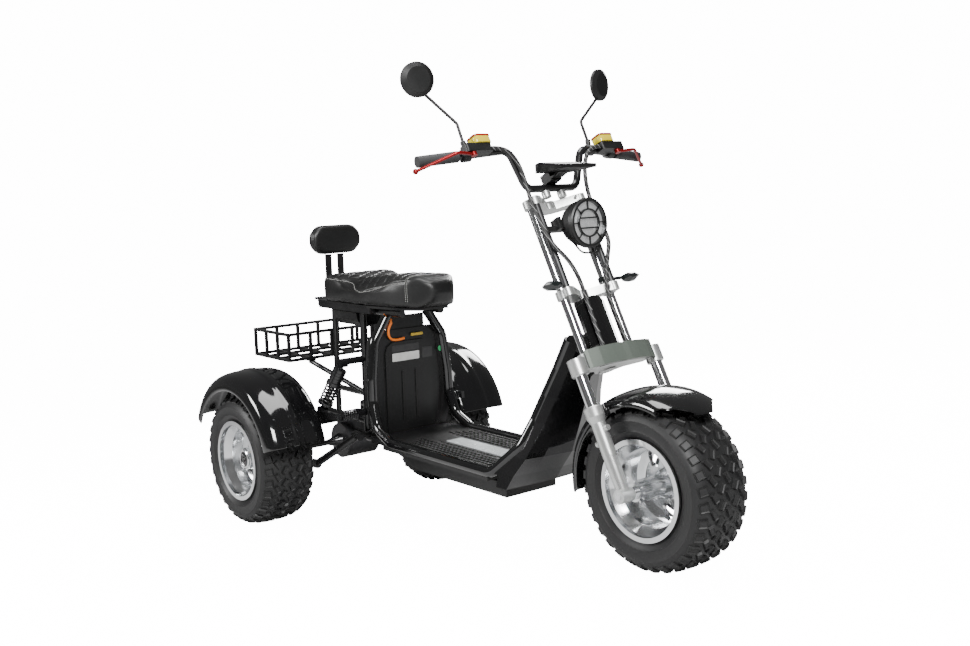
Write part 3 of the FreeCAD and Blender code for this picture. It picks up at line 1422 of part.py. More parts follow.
def seat_tub():
    """Tapered tub under the rear of the saddle, behind the rear posts."""
    high = under_rails()
    rear = dim("dims.rack_front") + 24
    front = dim("dims.post_x - dims.frame_radius") - 0.6
    rings = []
    for z, inset in ((high, 0), (high - 30, 6), (high - 48, 20)):
        ring = [V(rear + inset, -100 + inset, z), V(front, -100 + inset, z),
                V(front, 100 - inset, z), V(rear + inset, 100 - inset, z)]
        rings.append(Part.makePolygon(ring + ring[:1]))
    return Part.makeLoft(rings, True, True)


def coil(radius, wire, pitch, length):
    """Round-wire spring that stands up from the origin."""
    helix = Part.makeHelix(pitch, length, radius)
    ring = Part.Wire([Part.makeCircle(wire, V(radius, 0, 0), V(0, 1, 0))])
    return Part.Wire(helix).makePipeShell([ring], True, True)


def under_rails():
    """Height just below the frame's seat rails."""
    return dim("dims.seat_low - dims.plate_thick - 2 * dims.frame_radius") - 1.2


def core_half():
    """Half width that is free between the rear posts of the frame."""
    return dim("dims.post_y - dims.frame_radius") - 3


def spring_spot():
    """Place in the body's level of the cross tube that the side springs push on."""
    return pitched(V(dim("dims.lug_x"), 0, dim("dims.lug_z")), -1)


tyre("front_tyre", "front_wheel")
front_rim()
tyre("rear_tyre_left", "rear_wheel", 1)
rear_rim("rear_rim_left", 1)
tyre("rear_tyre_right", "rear_wheel", -1)
rear_rim("rear_rim_right", -1)
keep(brake_disc(), "front_brake_disc", "front_wheel")

keep(fork_tubes(), "fork_tubes", "steering")
keep(fork_sleeves(), "fork_sleeves", "steering")
keep(lower_crown(), "lower_crown", "steering")
keep(crown_cover(), "crown_cover", "steering")
keep(clamp("mid_clamp_plate", "dims.mid_clamp", "dims.mid_clamp_height",
           "dims.upper_spread", "dims.upper_radius"), "middle_clamp", "steering")
keep(top_clamp(), "top_clamp", "steering")
keep(fork_legs(), "fork_legs", "steering")
keep(front_axle(), "front_axle", "steering")
keep(rod("stem_rod", "dims.stem_radius",
         "dims.mid_clamp - dims.crown_low - dims.crown_height", "0", "0",
         "dims.crown_low + dims.crown_height"), "steering_stem", "steering")
keep(handlebar(), "handlebar", "steering")
keep(grips(), "grips", "steering")
keep(mirrors(), "mirrors", "steering")
keep(controls(), "brake_controls", "steering")
keep(brake_levers(), "brake_levers", "steering")
keep(brake_cups(), "brake_cups", "steering")
keep(looms(), "looms", "steering")
keep(brake_caliper(), "brake_caliper", "steering")
keep(headlight(), "headlight", "steering")
keep(headlight_lens(), "headlight_lens", "steering")
keep(display(), "display", "steering")
keep(signals(), "signals", "steering")
keep(mudguard(), "mudguard", "steering")

keep(main_frame(), "main_frame", "body")
keep(floor_deck(), "floor_deck", "body")
keep(leg_shield(), "leg_shield", "body")
keep(side_rails(), "side_rails", "body")
keep(battery_box(), "battery_box", "body")
keep(under_tray(), "under_tray", "body")
keep(seat_plate(), "seat_plate", "body")
keep(seat(), "seat_cushion", "body")
keep(backrest(), "backrest_cushion", "body")
keep(back_posts(), "backrest_posts", "body")
keep(basket(), "basket", "body")
keep(basket_struts(), "basket_struts", "body")
keep(lower_arms(), "lower_arms")
keep(uprights(), "uprights")
keep(shocks(), "shocks")
keep(side_springs(), "side_springs")
keep(fenders(), "rear_fenders")
keep(drive_unit(), "drive_unit", "body")
keep(half_shafts(), "half_shafts")

doc.recompute()

faults = []
for thing in doc.Objects:
    if "Invalid" in thing.State or "Error" in thing.State:
        faults.append(thing.Name)
for thing in parts:
    if thing.Shape.isNull() or not thing.Shape.isValid():
        faults.append(thing.Label)
if faults:
    raise RuntimeError("These pieces did not build: " + ", ".join(faults))

for thing in parts:
    thing.Shape.exportStep("parts/" + thing.Label + ".step")
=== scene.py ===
import math

import bmesh
import bpy
from mathutils import Matrix, Vector
from mathutils.kdtree import KDTree


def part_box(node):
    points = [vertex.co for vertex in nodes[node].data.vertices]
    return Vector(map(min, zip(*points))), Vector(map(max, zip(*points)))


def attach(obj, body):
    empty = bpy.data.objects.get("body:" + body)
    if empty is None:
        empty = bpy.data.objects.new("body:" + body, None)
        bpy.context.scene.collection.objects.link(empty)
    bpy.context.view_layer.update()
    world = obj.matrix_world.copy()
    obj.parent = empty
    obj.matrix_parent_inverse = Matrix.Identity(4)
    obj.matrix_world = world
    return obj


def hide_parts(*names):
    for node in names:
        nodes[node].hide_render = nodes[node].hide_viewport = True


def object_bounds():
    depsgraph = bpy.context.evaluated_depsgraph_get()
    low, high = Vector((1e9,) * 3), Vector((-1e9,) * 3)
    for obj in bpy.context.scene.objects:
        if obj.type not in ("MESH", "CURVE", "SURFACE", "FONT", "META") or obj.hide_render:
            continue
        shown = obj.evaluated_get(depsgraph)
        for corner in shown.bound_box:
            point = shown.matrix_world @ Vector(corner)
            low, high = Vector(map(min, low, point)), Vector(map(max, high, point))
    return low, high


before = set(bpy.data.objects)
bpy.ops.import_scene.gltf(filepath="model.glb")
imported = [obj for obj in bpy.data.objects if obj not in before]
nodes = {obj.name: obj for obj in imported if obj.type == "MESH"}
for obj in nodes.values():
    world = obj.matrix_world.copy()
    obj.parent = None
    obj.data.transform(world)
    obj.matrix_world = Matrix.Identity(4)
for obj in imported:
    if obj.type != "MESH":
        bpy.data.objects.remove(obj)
cad_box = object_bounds()
bpy.ops.object.select_all(action="DESELECT")


# ---------------------------------------------------------------------------
# Studio: a white floor, big soft lights and the camera at the photograph's angle.
# The camera stands ahead and to the right of the trike at handlebar height, a
# little rolled, as a hand-held picture is.
camera_place = Vector((2.884, -2.231, 0.919))
camera_heading = math.radians(51.43)
camera_drop = math.radians(4.06)
camera_roll = math.radians(4.66)
focal_pixels = 1141.5
image_width = 970
seen_white = 15  # strength at which the floor and the sky show as plain white

forward = Vector((-math.sin(camera_heading) * math.cos(camera_drop),
                  math.cos(camera_heading) * math.cos(camera_drop),
                  -math.sin(camera_drop)))
level_right = Vector((math.cos(camera_heading), math.sin(camera_heading), 0))
level_up = level_right.cross(forward)
right = level_right * math.cos(camera_roll) - level_up * math.sin(camera_roll)
up = level_right * math.sin(camera_roll) + level_up * math.cos(camera_roll)
bpy.ops.object.camera_add(location=camera_place)
camera = bpy.context.object
camera.name = "camera"
camera.data.sensor_width = 36
camera.data.lens = 36 * focal_pixels / image_width
camera.matrix_world = Matrix((
    (right.x, up.x, -forward.x, camera_place.x),
    (right.y, up.y, -forward.y, camera_place.y),
    (right.z, up.z, -forward.z, camera_place.z),
    (0, 0, 0, 1)))
bpy.context.scene.camera = camera

bpy.ops.mesh.primitive_plane_add(size=60, location=(0, 0, cad_box[0][2]))
floor = bpy.context.object
floor.name = "studio_floor"
floor_paint = bpy.data.materials.new("studio_floor_paint")
floor_paint.use_nodes = True
floor_shader = floor_paint.node_tree.nodes["Principled BSDF"]
floor_shader.inputs["Base Color"].default_value = (0.55, 0.55, 0.55, 1)
floor_shader.inputs["Roughness"].default_value = 0.9
floor_shader.inputs["Emission Color"].default_value = (1, 1, 1, 1)
floor_seen = floor_paint.node_tree.nodes.new("ShaderNodeLightPath")
floor_glow = floor_paint.node_tree.nodes.new("ShaderNodeMath")
floor_glow.operation = "MULTIPLY"
floor_glow.inputs[1].default_value = seen_white
floor_links = floor_paint.node_tree.links
floor_links.new(floor_seen.outputs["Is Camera Ray"], floor_glow.inputs[0])
floor_links.new(floor_glow.outputs[0], floor_shader.inputs["Emission Strength"])
floor.data.materials.append(floor_paint)


def soft_light(name, place, aim, size, power):
    """Square studio lamp that looks at a point of the trike."""
    bpy.ops.object.light_add(type="AREA", location=place)
    lamp = bpy.context.object
    lamp.name = name
    lamp.data.shape = "SQUARE"
    lamp.data.size = size
    lamp.data.energy = power
    way = Vector(aim) - Vector(place)
    lamp.rotation_euler = way.to_track_quat("-Z", "Y").to_euler()
    return lamp


soft_light("key_light", (2.9, -1.6, 2.6), (0.1, 0, 0.5), 1.1, 190)
soft_light("left_light", (-1.6, -3.2, 2.2), (-0.2, 0, 0.5), 1.1, 130)
soft_light("back_light", (-1.8, 3.2, 2.6), (0, 0, 0.6), 1.3, 120)
soft_light("top_light", (0.2, 0.1, 3.6), (0, 0, 0), 1.8, 90)
world = bpy.data.worlds.new("studio_world")
bpy.context.scene.world = world
world.use_nodes = True
sky = world.node_tree.nodes["Background"]
sky.inputs["Color"].default_value = (1, 1, 1, 1)
sky_seen = world.node_tree.nodes.new("ShaderNodeLightPath")
sky_light = world.node_tree.nodes.new("ShaderNodeMapRange")
sky_light.inputs["To Min"].default_value = 0.14
sky_light.inputs["To Max"].default_value = seen_white
world.node_tree.links.new(sky_seen.outputs["Is Camera Ray"], sky_light.inputs["Value"])
world.node_tree.links.new(sky_light.outputs["Result"], sky.inputs["Strength"])


# ---------------------------------------------------------------------------
# Tyres: fat tubeless tyres for loose ground, black rubber from a hot mould.  The
# side walls are smooth with fine rings, and rows of short slanted lugs with a
# sunk middle stand on the crown and hang over the shoulders.


def link(tree, out_node, out_name, in_node, in_name):
    tree.links.new(out_node.outputs[out_name], in_node.inputs[in_name])


def build_grain():
    """Node group: fine grain as a height, and slow clouds for colour and gloss."""
    group = bpy.data.node_groups.new("surface_grain", "ShaderNodeTree")
    face = group.interface
    face.new_socket("Vector", in_out="INPUT", socket_type="NodeSocketVector")
    face.new_socket("Grain Scale", in_out="INPUT", socket_type="NodeSocketFloat")
    face.new_socket("Cloud Scale", in_out="INPUT", socket_type="NodeSocketFloat")
    face.new_socket("Height", in_out="OUTPUT", socket_type="NodeSocketFloat")
    face.new_socket("Cloud", in_out="OUTPUT", socket_type="NodeSocketFloat")
    start = group.nodes.new("NodeGroupInput")
    end = group.nodes.new("NodeGroupOutput")
    fine = group.nodes.new("ShaderNodeTexNoise")
    fine.inputs["Detail"].default_value = 4
    broad = group.nodes.new("ShaderNodeTexNoise")
    broad.inputs["Detail"].default_value = 3
    spread = group.nodes.new("ShaderNodeMapRange")
    spread.inputs["From Min"].default_value = 0.3
    spread.inputs["From Max"].default_value = 0.7
    for noise in (fine, broad):
        link(group, start, "Vector", noise, "Vector")
    link(group, start, "Grain Scale", fine, "Scale")
    link(group, start, "Cloud Scale", broad, "Scale")
    group.links.new(broad.outputs["Fac"], spread.inputs["Value"])
    group.links.new(fine.outputs["Fac"], end.inputs["Height"])
    group.links.new(spread.outputs["Result"], end.inputs["Cloud"])
    return group


grain_group = build_grain()


def finish(name, colour, worn, metal, smooth, dull, grain, depth, cloud=7.0, coat=0.0):
    """Material with a grain of its own: two colours and two roughnesses by cloud."""
    material = bpy.data.materials.new(name)
    material.use_nodes = True
    tree = material.node_tree
    shader = tree.nodes["Principled BSDF"]
    shader.inputs["Metallic"].default_value = metal
    shader.inputs["Coat Weight"].default_value = coat
    shader.inputs["Coat Roughness"].default_value = 0.06
    place = tree.nodes.new("ShaderNodeTexCoord")
    grains = tree.nodes.new("ShaderNodeGroup")
    grains.name = "grain"
    grains.node_tree = grain_group
    grains.inputs["Grain Scale"].default_value = grain
    grains.inputs["Cloud Scale"].default_value = cloud
    link(tree, place, "Object", grains, "Vector")
    blend = tree.nodes.new("ShaderNodeMix")
    blend.data_type = "RGBA"
    blend.inputs["A"].default_value = (*colour, 1)
    blend.inputs["B"].default_value = (*worn, 1)
    tree.links.new(grains.outputs["Cloud"], blend.inputs["Factor"])
    tree.links.new(blend.outputs["Result"], shader.inputs["Base Color"])
    gloss = tree.nodes.new("ShaderNodeMapRange")
    gloss.inputs["To Min"].default_value = smooth
    gloss.inputs["To Max"].default_value = dull
    tree.links.new(grains.outputs["Cloud"], gloss.inputs["Value"])
    tree.links.new(gloss.outputs["Result"], shader.inputs["Roughness"])
    bump = tree.nodes.new("ShaderNodeBump")
    bump.name = "bump"
    bump.inputs["Strength"].default_value = 1.0
    bump.inputs["Distance"].default_value = depth
    tree.links.new(grains.outputs["Height"], bump.inputs["Height"])
    tree.links.new(bump.outputs["Normal"], shader.inputs["Normal"])
    return material


rear_axle_x = -0.7495  # metres, in the frame of the whole trike
trike = Matrix.Translation((rear_axle_x, 0, 0))


def spot(x, y, z):
    """Place in millimetres, as a move in metres."""
    return Matrix.Translation(Vector((x, y, z)) / 1000)


def tilt(degrees, axis):
    return Matrix.Rotation(math.radians(degrees), 4, axis)


wheel_height = 232
front_wheel = trike @ spot(1543, 0, wheel_height)
rear_wheels = {side: trike @ spot(0, side * 392, wheel_height) for side in (-1, 1)}


def solo(piece):
    """Makes a piece the only one that is selected."""
    bpy.ops.object.select_all(action="DESELECT")
    piece.select_set(True)
    bpy.context.view_layer.objects.active = piece


def edit(piece, pick="ALL", kind="FACE"):
    """Opens a piece in edit mode with all or nothing picked."""
    solo(piece)
    bpy.ops.object.mode_set(mode="EDIT")
    bpy.ops.mesh.select_mode(type=kind)
    bpy.ops.mesh.select_all(action="SELECT" if pick == "ALL" else "DESELECT")


def pick_faces(piece, wanted):
    """Selects the faces of the piece in edit mode whose middle and normal fit."""
    mesh = bmesh.from_edit_mesh(piece.data)
    for face in mesh.faces:
        face.select = bool(wanted(face.calc_center_median(), face.normal))
    mesh.select_flush_mode()
    bmesh.update_edit_mesh(piece.data)


def done():
    bpy.ops.object.mode_set(mode="OBJECT")


def settle(piece, place, smooth=35):
    """Sets a shaped piece at its place, with the place in its mesh, and shades it."""
    solo(piece)
    piece.matrix_world = place @ piece.matrix_world
    bpy.ops.object.transform_apply(location=True, rotation=True, scale=True)
    if smooth:
        bpy.ops.object.shade_smooth_by_angle(angle=math.radians(smooth))
    return piece


def copy_of(piece, name, move=None):
    """Second piece from the same pattern, with a mesh of its own."""
    other = bpy.data.objects.new(name, piece.data.copy())
    bpy.context.collection.objects.link(other)
    if move is not None:
        other.data.transform(move)
    return other


def joined(name, pieces):
    """One piece from several that are fixed together."""
    bpy.ops.object.select_all(action="DESELECT")
    for piece in pieces:
        piece.select_set(True)
    bpy.context.view_layer.objects.active = pieces[0]
    if len(pieces) > 1:
        bpy.ops.object.join()
    pieces[0].name = name
    return pieces[0]


def fitted(piece, material, body_name, *stands_for):
    """Finish and carrier of a finished piece, and the CAD node that it stands for."""
    piece.data.materials.clear()
    piece.data.materials.append(material)
    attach(piece, body_name)
    if stands_for:
        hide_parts(*stands_for)
    return piece


def turned(name, profile, steps=48):
    """Piece turned about the Y axis from (radius, across) points in millimetres.

    A single point is drawn out along the profile and spun once round.
    """
    bpy.ops.mesh.primitive_plane_add(size=0.001, location=(0, 0, 0))
    piece = bpy.context.object
    piece.name = name
    edit(piece, kind="VERT")
    bpy.ops.mesh.merge(type="CENTER")
    here = Vector((0, 0, 0))
    for i, (radius, across) in enumerate(profile):
        there = Vector((radius, across, 0)) / 1000
        step = there - here
        if i == 0:
            bpy.ops.transform.translate(value=step)
        else:
            bpy.ops.mesh.extrude_region_move(TRANSFORM_OT_translate={"value": step})
        here = there
    bpy.ops.mesh.select_all(action="SELECT")
    bpy.ops.mesh.spin(steps=steps, angle=2 * math.pi, center=(0, 0, 0), axis=(0, 1, 0))
    bpy.ops.mesh.select_all(action="SELECT")
    bpy.ops.mesh.remove_doubles(threshold=0.00001)
    bpy.ops.mesh.normals_make_consistent(inside=False)
    done()
    return piece


rubber = finish("tyre_rubber", (0.006, 0.006, 0.0065), (0.013, 0.013, 0.013), 0, 0.46, 0.64,
                420, 0.0002)
half_wall = [(131, 82), (141, 84), (146, 88), (150, 92), (158, 96), (160, 98.4), (163, 97.4),
             (176, 99.6), (186, 100), (188, 100.6), (190, 99.6), (198, 96), (206, 89),
             (213, 78), (218, 64), (221, 46), (223, 24), (223.5, 0)]
wall_points = half_wall + [(r, -y) for r, y in reversed(half_wall[:-1])] + [half_wall[0]]
casing = turned("front_tyre_cover", wall_points, 96)


def lug_block(name, length, width, height, sink):
    """Slanted rubber block with a sunk panel in its top."""
    bpy.ops.mesh.primitive_cube_add(size=1, location=(0, 0, 0))
    block = bpy.context.object
    block.name = name
    edit(block)
    bpy.ops.transform.resize(value=(length / 1000, width / 1000, height / 1000))
    bpy.ops.transform.translate(value=(0, 0, height / 2000))
    pick_faces(block, lambda c, n: n.z > 0.9)
    bpy.ops.transform.resize(value=(0.86, 0.8, 1))
    bpy.ops.mesh.inset(thickness=0.0026)
    bpy.ops.transform.translate(value=(0, 0, -sink / 1000))
    done()
    return block


crown_lug = lug_block("crown_lug", 30, 17, 9.2, 2.4)
shoulder_lug = lug_block("shoulder_lug", 25, 30, 8.2, 2.4)
lug_rows = [
    (crown_lug, 0, 222.3, 0, 24, 0), (crown_lug, 27, 221.6, 3, -30, 0.5),
    (crown_lug, -27, 221.6, -3, -30, 0.5), (crown_lug, 52, 219.3, 9, 32, 0),
    (crown_lug, -52, 219.3, -9, 32, 0), (shoulder_lug, 79, 210.2, 34, -10, 0.5),
    (shoulder_lug, -79, 210.2, -34, 10, 0.5),
]
lug_count = 32
lugs = []
for pattern, across, radius, lean, slant, shift in lug_rows:
    for i in range(lug_count):
        turn = 360 / lug_count * (i + shift)
        seat_of_lug = (tilt(turn, "Y") @ spot(0, across, radius - 1.4)
                       @ tilt(-lean, "X") @ tilt(slant, "Z"))
        lugs.append(copy_of(pattern, "lug", seat_of_lug))
for pattern in (crown_lug, shoulder_lug):
    bpy.data.objects.remove(pattern)
front_cover = joined("front_tyre_cover", [casing] + lugs)
covers = {"rear_tyre_cover_right": rear_wheels[-1], "rear_tyre_cover_left": rear_wheels[1]}
for name, place in covers.items():
    side_name = name.rsplit("_", 1)[1]
    cover = settle(copy_of(front_cover, name), place, 32)
    fitted(cover, rubber, "rear_wheel_" + side_name, "rear_tyre_" + side_name)
fitted(settle(front_cover, front_wheel, 32), rubber, "front_wheel", "front_tyre")


# ---------------------------------------------------------------------------
# Rims: cast alloy, turned and polished, the front one with five drop windows and
# the rear ones smooth dishes.  A short rubber valve stands in each well, and the
# rear hubs end in a black cap inside a polished ring.


def dress(material, *names):
    """Gives CAD pieces their finish."""
    for name in names:
        nodes[name].data.materials.clear()
        nodes[name].data.materials.append(material)


polished = finish("polished_cast", (0.86, 0.87, 0.88), (0.74, 0.75, 0.76), 1, 0.09, 0.24,
                  260, 0.00004, 12)
dress(polished, "front_rim", "rear_rim_left", "rear_rim_right", "front_axle")
valve_rubber = finish("valve_rubber", (0.014, 0.014, 0.014), (0.024, 0.024, 0.024), 0, 0.4,
                      0.55, 600, 0.0001)
valve_brass = finish("valve_brass", (0.80, 0.62, 0.12), (0.70, 0.52, 0.10), 0.7, 0.25, 0.4,
                     500, 0.00004)
cap_black = finish("hub_cap_black", (0.008, 0.008, 0.008), (0.014, 0.014, 0.014), 0, 0.22,
                   0.34, 300, 0.00008, 9, 0.3)


def valve(name, stem_material, place, body_name, lean):
    """Valve stem with a foot, a waist and a screwed cap."""
    stem = turned(name, [(0.01, 0), (6.2, 0), (6.4, 2), (4.6, 5), (3.9, 12), (3.9, 19),
                         (0.01, 19)], 20)
    cap = turned(name + "_cap", [(0.01, 18.5), (4.7, 18.5), (5.0, 19.5), (5.0, 28),
                                 (4.4, 29.5), (0.01, 29.6)], 12)
    move = place @ tilt(lean, "Z")
    fitted(settle(stem, move), stem_material, body_name)
    fitted(settle(cap, move), valve_rubber, body_name)


valve("front_valve", valve_rubber,
      front_wheel @ tilt(205, "Y") @ spot(112, -44, 0) @ tilt(90, "Y") @ tilt(14, "X"),
      "front_wheel", 180)
for side, side_name in ((-1, "right"), (1, "left")):
    place = rear_wheels[side] @ tilt(-62, "Y") @ spot(104, side * 22, 0)
    valve("rear_valve_" + side_name, valve_brass, place @ tilt(-30 * side, "Z"),
          "rear_wheel_" + side_name, 0 if side > 0 else 180)
    ring = turned("hub_ring_" + side_name,
                  [(26, 57.5), (31.5, 57.5), (33.5, 59.5), (33.5, 62.5), (31, 64.5),
                   (27, 64.5), (25.5, 62)], 48)
    cap = turned("hub_cap_" + side_name,
                 [(0.01, 50), (25.6, 50), (25.6, 62), (24, 64.5), (17, 66), (15, 64),
                  (8.5, 64), (7, 68), (0.01, 68.5)], 48)
    for piece, material in ((ring, polished), (cap, cap_black)):
        if side < 0:
            piece.data.transform(Matrix.Scale(-1, 4, (0, 1, 0)))
            piece.data.flip_normals()
        fitted(settle(piece, rear_wheels[side]), material, "rear_wheel_" + side_name)


# ---------------------------------------------------------------------------
# Fork: chromed stanchions in silver legs, black sleeved tubes beside them, cast
# yokes in silver lacquer and a grey-green cover over the lower one.  It leans back
# 23 degrees, and its pieces are placed up the steering axis.
rake = math.radians(23)
fork_foot = spot(1501.577, 0, 214.417)  # where the steering axis passes the wheel
fork_offset = 45
fork = trike @ fork_foot @ Matrix.Rotation(-rake, 4, "Y")
chrome = finish("chrome", (0.88, 0.89, 0.90), (0.82, 0.83, 0.84), 1, 0.05, 0.12,
                300, 0.00002, 14)
dress(chrome, "fork_tubes", "steering_stem")
silver = finish("silver_cast", (0.66, 0.67, 0.66), (0.56, 0.57, 0.56), 0.8, 0.26, 0.4,
                700, 0.00006)
dress(silver, "middle_clamp", "top_clamp", "fork_legs", "lower_crown")
sleeve_black = finish("sleeve_black", (0.02, 0.02, 0.021), (0.032, 0.032, 0.033), 0.3, 0.3,
                      0.44, 500, 0.00005)
dress(sleeve_black, "fork_sleeves")
cover_grey = finish("grey_cover", (0.105, 0.125, 0.108), (0.125, 0.145, 0.125), 0.25,
                    0.32, 0.44, 900, 0.00006, 6, 0.25)
dress(cover_grey, "crown_cover")
brake_steel = finish("brake_steel", (0.55, 0.55, 0.56), (0.45, 0.45, 0.46), 1, 0.22, 0.34,
                     160, 0.00006, 20)
dress(brake_steel, "front_brake_disc")
steel_screw = finish("zinc_screw", (0.62, 0.63, 0.64), (0.5, 0.5, 0.5), 1, 0.24, 0.36, 800,
                     0.00003)


def rounded(piece, width, segments=2):
    """Bevels the sharp edges, as a mould or a tumbler leaves them."""
    solo(piece)
    bevel = piece.modifiers.new("edge", "BEVEL")
    bevel.width = width
    bevel.segments = segments
    bevel.limit_method = "ANGLE"
    bevel.angle_limit = math.radians(30)
    bpy.ops.object.modifier_apply(modifier="edge")


def cap_screw(name, radius, height):
    """Socket-head screw that stands up from the origin along Z."""
    bpy.ops.mesh.primitive_cylinder_add(vertices=24, radius=radius / 1000,
                                        depth=height / 1000,
                                        location=(0, 0, height / 2000))
    screw = bpy.context.object
    screw.name = name
    edit(screw)
    pick_faces(screw, lambda c, n: n.z > 0.9)
    bpy.ops.mesh.inset(thickness=radius * 0.0004)
    bpy.ops.transform.translate(value=(0, 0, -height * 0.00055))
    done()
    rounded(screw, radius * 0.0001, 2)
    return screw


def screws(name, radius, height, places, material, body_name):
    """Like screws, one at each place, as one piece."""
    first = cap_screw(name, radius, height)
    rest = [copy_of(first, name + "_next", place) for place in places[1:]]
    first.data.transform(places[0])
    piece = joined(name, [first] + rest)
    solo(piece)
    bpy.ops.object.transform_apply(location=True, rotation=True, scale=True)
    bpy.ops.object.shade_smooth_by_angle(angle=math.radians(35))
    return fitted(piece, material, body_name)


left_screws = [fork @ spot(x, y, z) @ tilt(90, "Y")
               for x, y, z in ((64, 60, 854), (64, 60, 574), (66, 147, 112), (66, 147, 96))]
screws("leg_screws", 3.6, 5, left_screws, steel_screw, "steering")


# ---------------------------------------------------------------------------
# Saddle: foam under a black leather cover, blown up as cloth so that it crowns.
# Its middle falls away for the rider's legs, the top is quilted in diamonds, and a
# wave seam and an upright nose seam are sewn with white thread.
body_pitch = math.radians(4.6)
body = (trike @ spot(500, 0, 200) @ Matrix.Rotation(body_pitch, 4, "Y")
        @ spot(-500, 0, -200))
leather = finish("black_leather", (0.005, 0.005, 0.005), (0.009, 0.009, 0.009), 0, 0.34,
                 0.42, 420, 0.00022)
thread = finish("white_thread", (0.55, 0.55, 0.53), (0.42, 0.42, 0.40), 0, 0.6, 0.75, 900,
                0.0001)


def stuffed(name, node, squeeze, cell, most):
    """Cushion from its plain CAD block: remeshed, then swollen as cloth over foam."""
    cushion = copy_of(nodes[node], name)
    edit(cushion, kind="VERT")
    bpy.ops.mesh.remove_doubles(threshold=0.00001)
    low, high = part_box(node)
    middle = (low + high) / 2
    bpy.ops.transform.translate(value=-middle)
    bpy.ops.transform.resize(value=squeeze)
    bpy.ops.transform.translate(value=middle)
    done()
    rounded(cushion, 0.012, 3)
    solo(cushion)
    grid = cushion.modifiers.new("grid", "REMESH")
    grid.mode = "VOXEL"
    grid.voxel_size = cell
    bpy.ops.object.modifier_apply(modifier="grid")
    ease = cushion.modifiers.new("ease", "SMOOTH")
    ease.factor = 0.5
    ease.iterations = 3
    bpy.ops.object.modifier_apply(modifier="ease")
    before = [v.co.copy() for v in cushion.data.vertices]
    lowest = min(c.z for c in before)
    under = cushion.vertex_groups.new(name="under")
    under.add([i for i, c in enumerate(before) if c.z < lowest + 0.006], 1.0, "REPLACE")
    cloth = cushion.modifiers.new("cover", "CLOTH")
    cloth.settings.vertex_group_mass = "under"
    cloth.settings.use_pressure = True
    cloth.settings.uniform_pressure_force = 2.5
    cloth.settings.effector_weights.gravity = 0
    cloth.settings.tension_stiffness = 60
    cloth.settings.compression_stiffness = 60
    cloth.settings.shear_stiffness = 40
    cloth.settings.bending_stiffness = 25
    scene = bpy.context.scene
    for step in range(1, 21):
        scene.frame_set(step)
    bpy.ops.object.modifier_apply(modifier="cover")
    scene.frame_set(1)
    for v, start in zip(cushion.data.vertices, before):
        move = v.co - start
        if move.length > most:
            v.co = start + move * (most / move.length)
    ease = cushion.modifiers.new("ease", "SMOOTH")
    ease.factor = 0.5
    ease.iterations = 30
    solo(cushion)
    bpy.ops.object.modifier_apply(modifier="ease")
    finer = cushion.modifiers.new("finer", "SUBSURF")
    finer.levels = 1
    finer.render_levels = 1
    solo(cushion)
    bpy.ops.object.modifier_apply(modifier="finer")
    cushion.vertex_groups.clear()
    return cushion


def ramp(value, low, high):
    """Smooth step from 0 at low to 1 at high."""
    share = max(0.0, min(1.0, (value - low) / (high - low)))
    return share * share * (3 - 2 * share)


def on_cover(cushion, start, way):
    """Point and normal where a needle from start meets the cover."""
    hit, place, normal, face = cushion.ray_cast(start, way)
    return (place, normal) if hit else None


def seam_line(cushion, needles):
    """Points on the cover under a row of needles."""
    found = [on_cover(cushion, start, way) for start, way in needles]
    return [f for f in found if f]


def line_tree(line):
    """Finder of the nearest point of a seam."""
    tree = KDTree(len(line))
    for i, (place, normal) in enumerate(line):
        tree.insert(place, i)
    tree.balance()
    return tree


def sewn(cushion, line, width, depth):
    """Draws the cover in along a seam."""
    near = {}
    tree = line_tree(line)
    for v in cushion.data.vertices:
        place, index, gap = tree.find(v.co)
        if gap < width * 2.2:
            near[v.index] = (math.exp(-(gap / width) ** 2) * depth, line[index][1])
    for index, (pull, normal) in near.items():
        cushion.data.vertices[index].co -= normal * pull


def stitches(name, line, offset, pitch, material, body_name):
    """Row of short threads beside a seam, each a small capsule laid on the cover."""
    bpy.ops.mesh.primitive_cylinder_add(vertices=6, radius=0.0006, depth=0.0034)
    stitch = bpy.context.object
    edit(stitch)
    pick_faces(stitch, lambda c, n: abs(n.z) > 0.9)
    bpy.ops.mesh.inset(thickness=0.0002)
    bpy.ops.transform.resize(value=(1, 1, 1.25))
    done()
    row = []
    travelled = 0.0
    for (a, n), (b, m) in zip(line[:-1], line[1:]):
        travelled += (b - a).length
        if travelled < pitch:
            continue
        travelled = 0.0
        along = (b - a).normalized()
        beside = along.cross(n).normalized()
        turn = along.to_track_quat("Z", "Y").to_matrix().to_4x4()
        place = (a + b) / 2 + beside * offset + n * 0.0003
        row.append(copy_of(stitch, name + "_next", Matrix.Translation(place) @ turn))
    bpy.data.objects.remove(stitch)
    return fitted(joined(name, row), material, body_name)


saddle = stuffed("saddle_cover", "seat_cushion", (0.985, 0.975, 0.99), 0.0055, 0.004)
to_body = body.inverted()
waist_drop = 30
sit_depth = 5
for v in saddle.data.vertices:
    p = to_body @ v.co * 1000
    waist = ramp(p.x, 110, 230) * (1 - ramp(p.x, 380, 500))
    side = ramp(abs(p.y), 50, 128)
    high = ramp(p.z, 765, 815)
    drop = waist_drop * waist * side * high
    sit = sit_depth * math.exp(-((p.x - 250) / 110) ** 2) * high
    p.z -= drop + sit
    v.co = body @ (p / 1000)


def wave(x):
    """Height of the side seam along the saddle."""
    dip = math.exp(-((x - 300) / 105) ** 2)
    return 808 - 34 * dip + 6 * ramp(x, 380, 500)


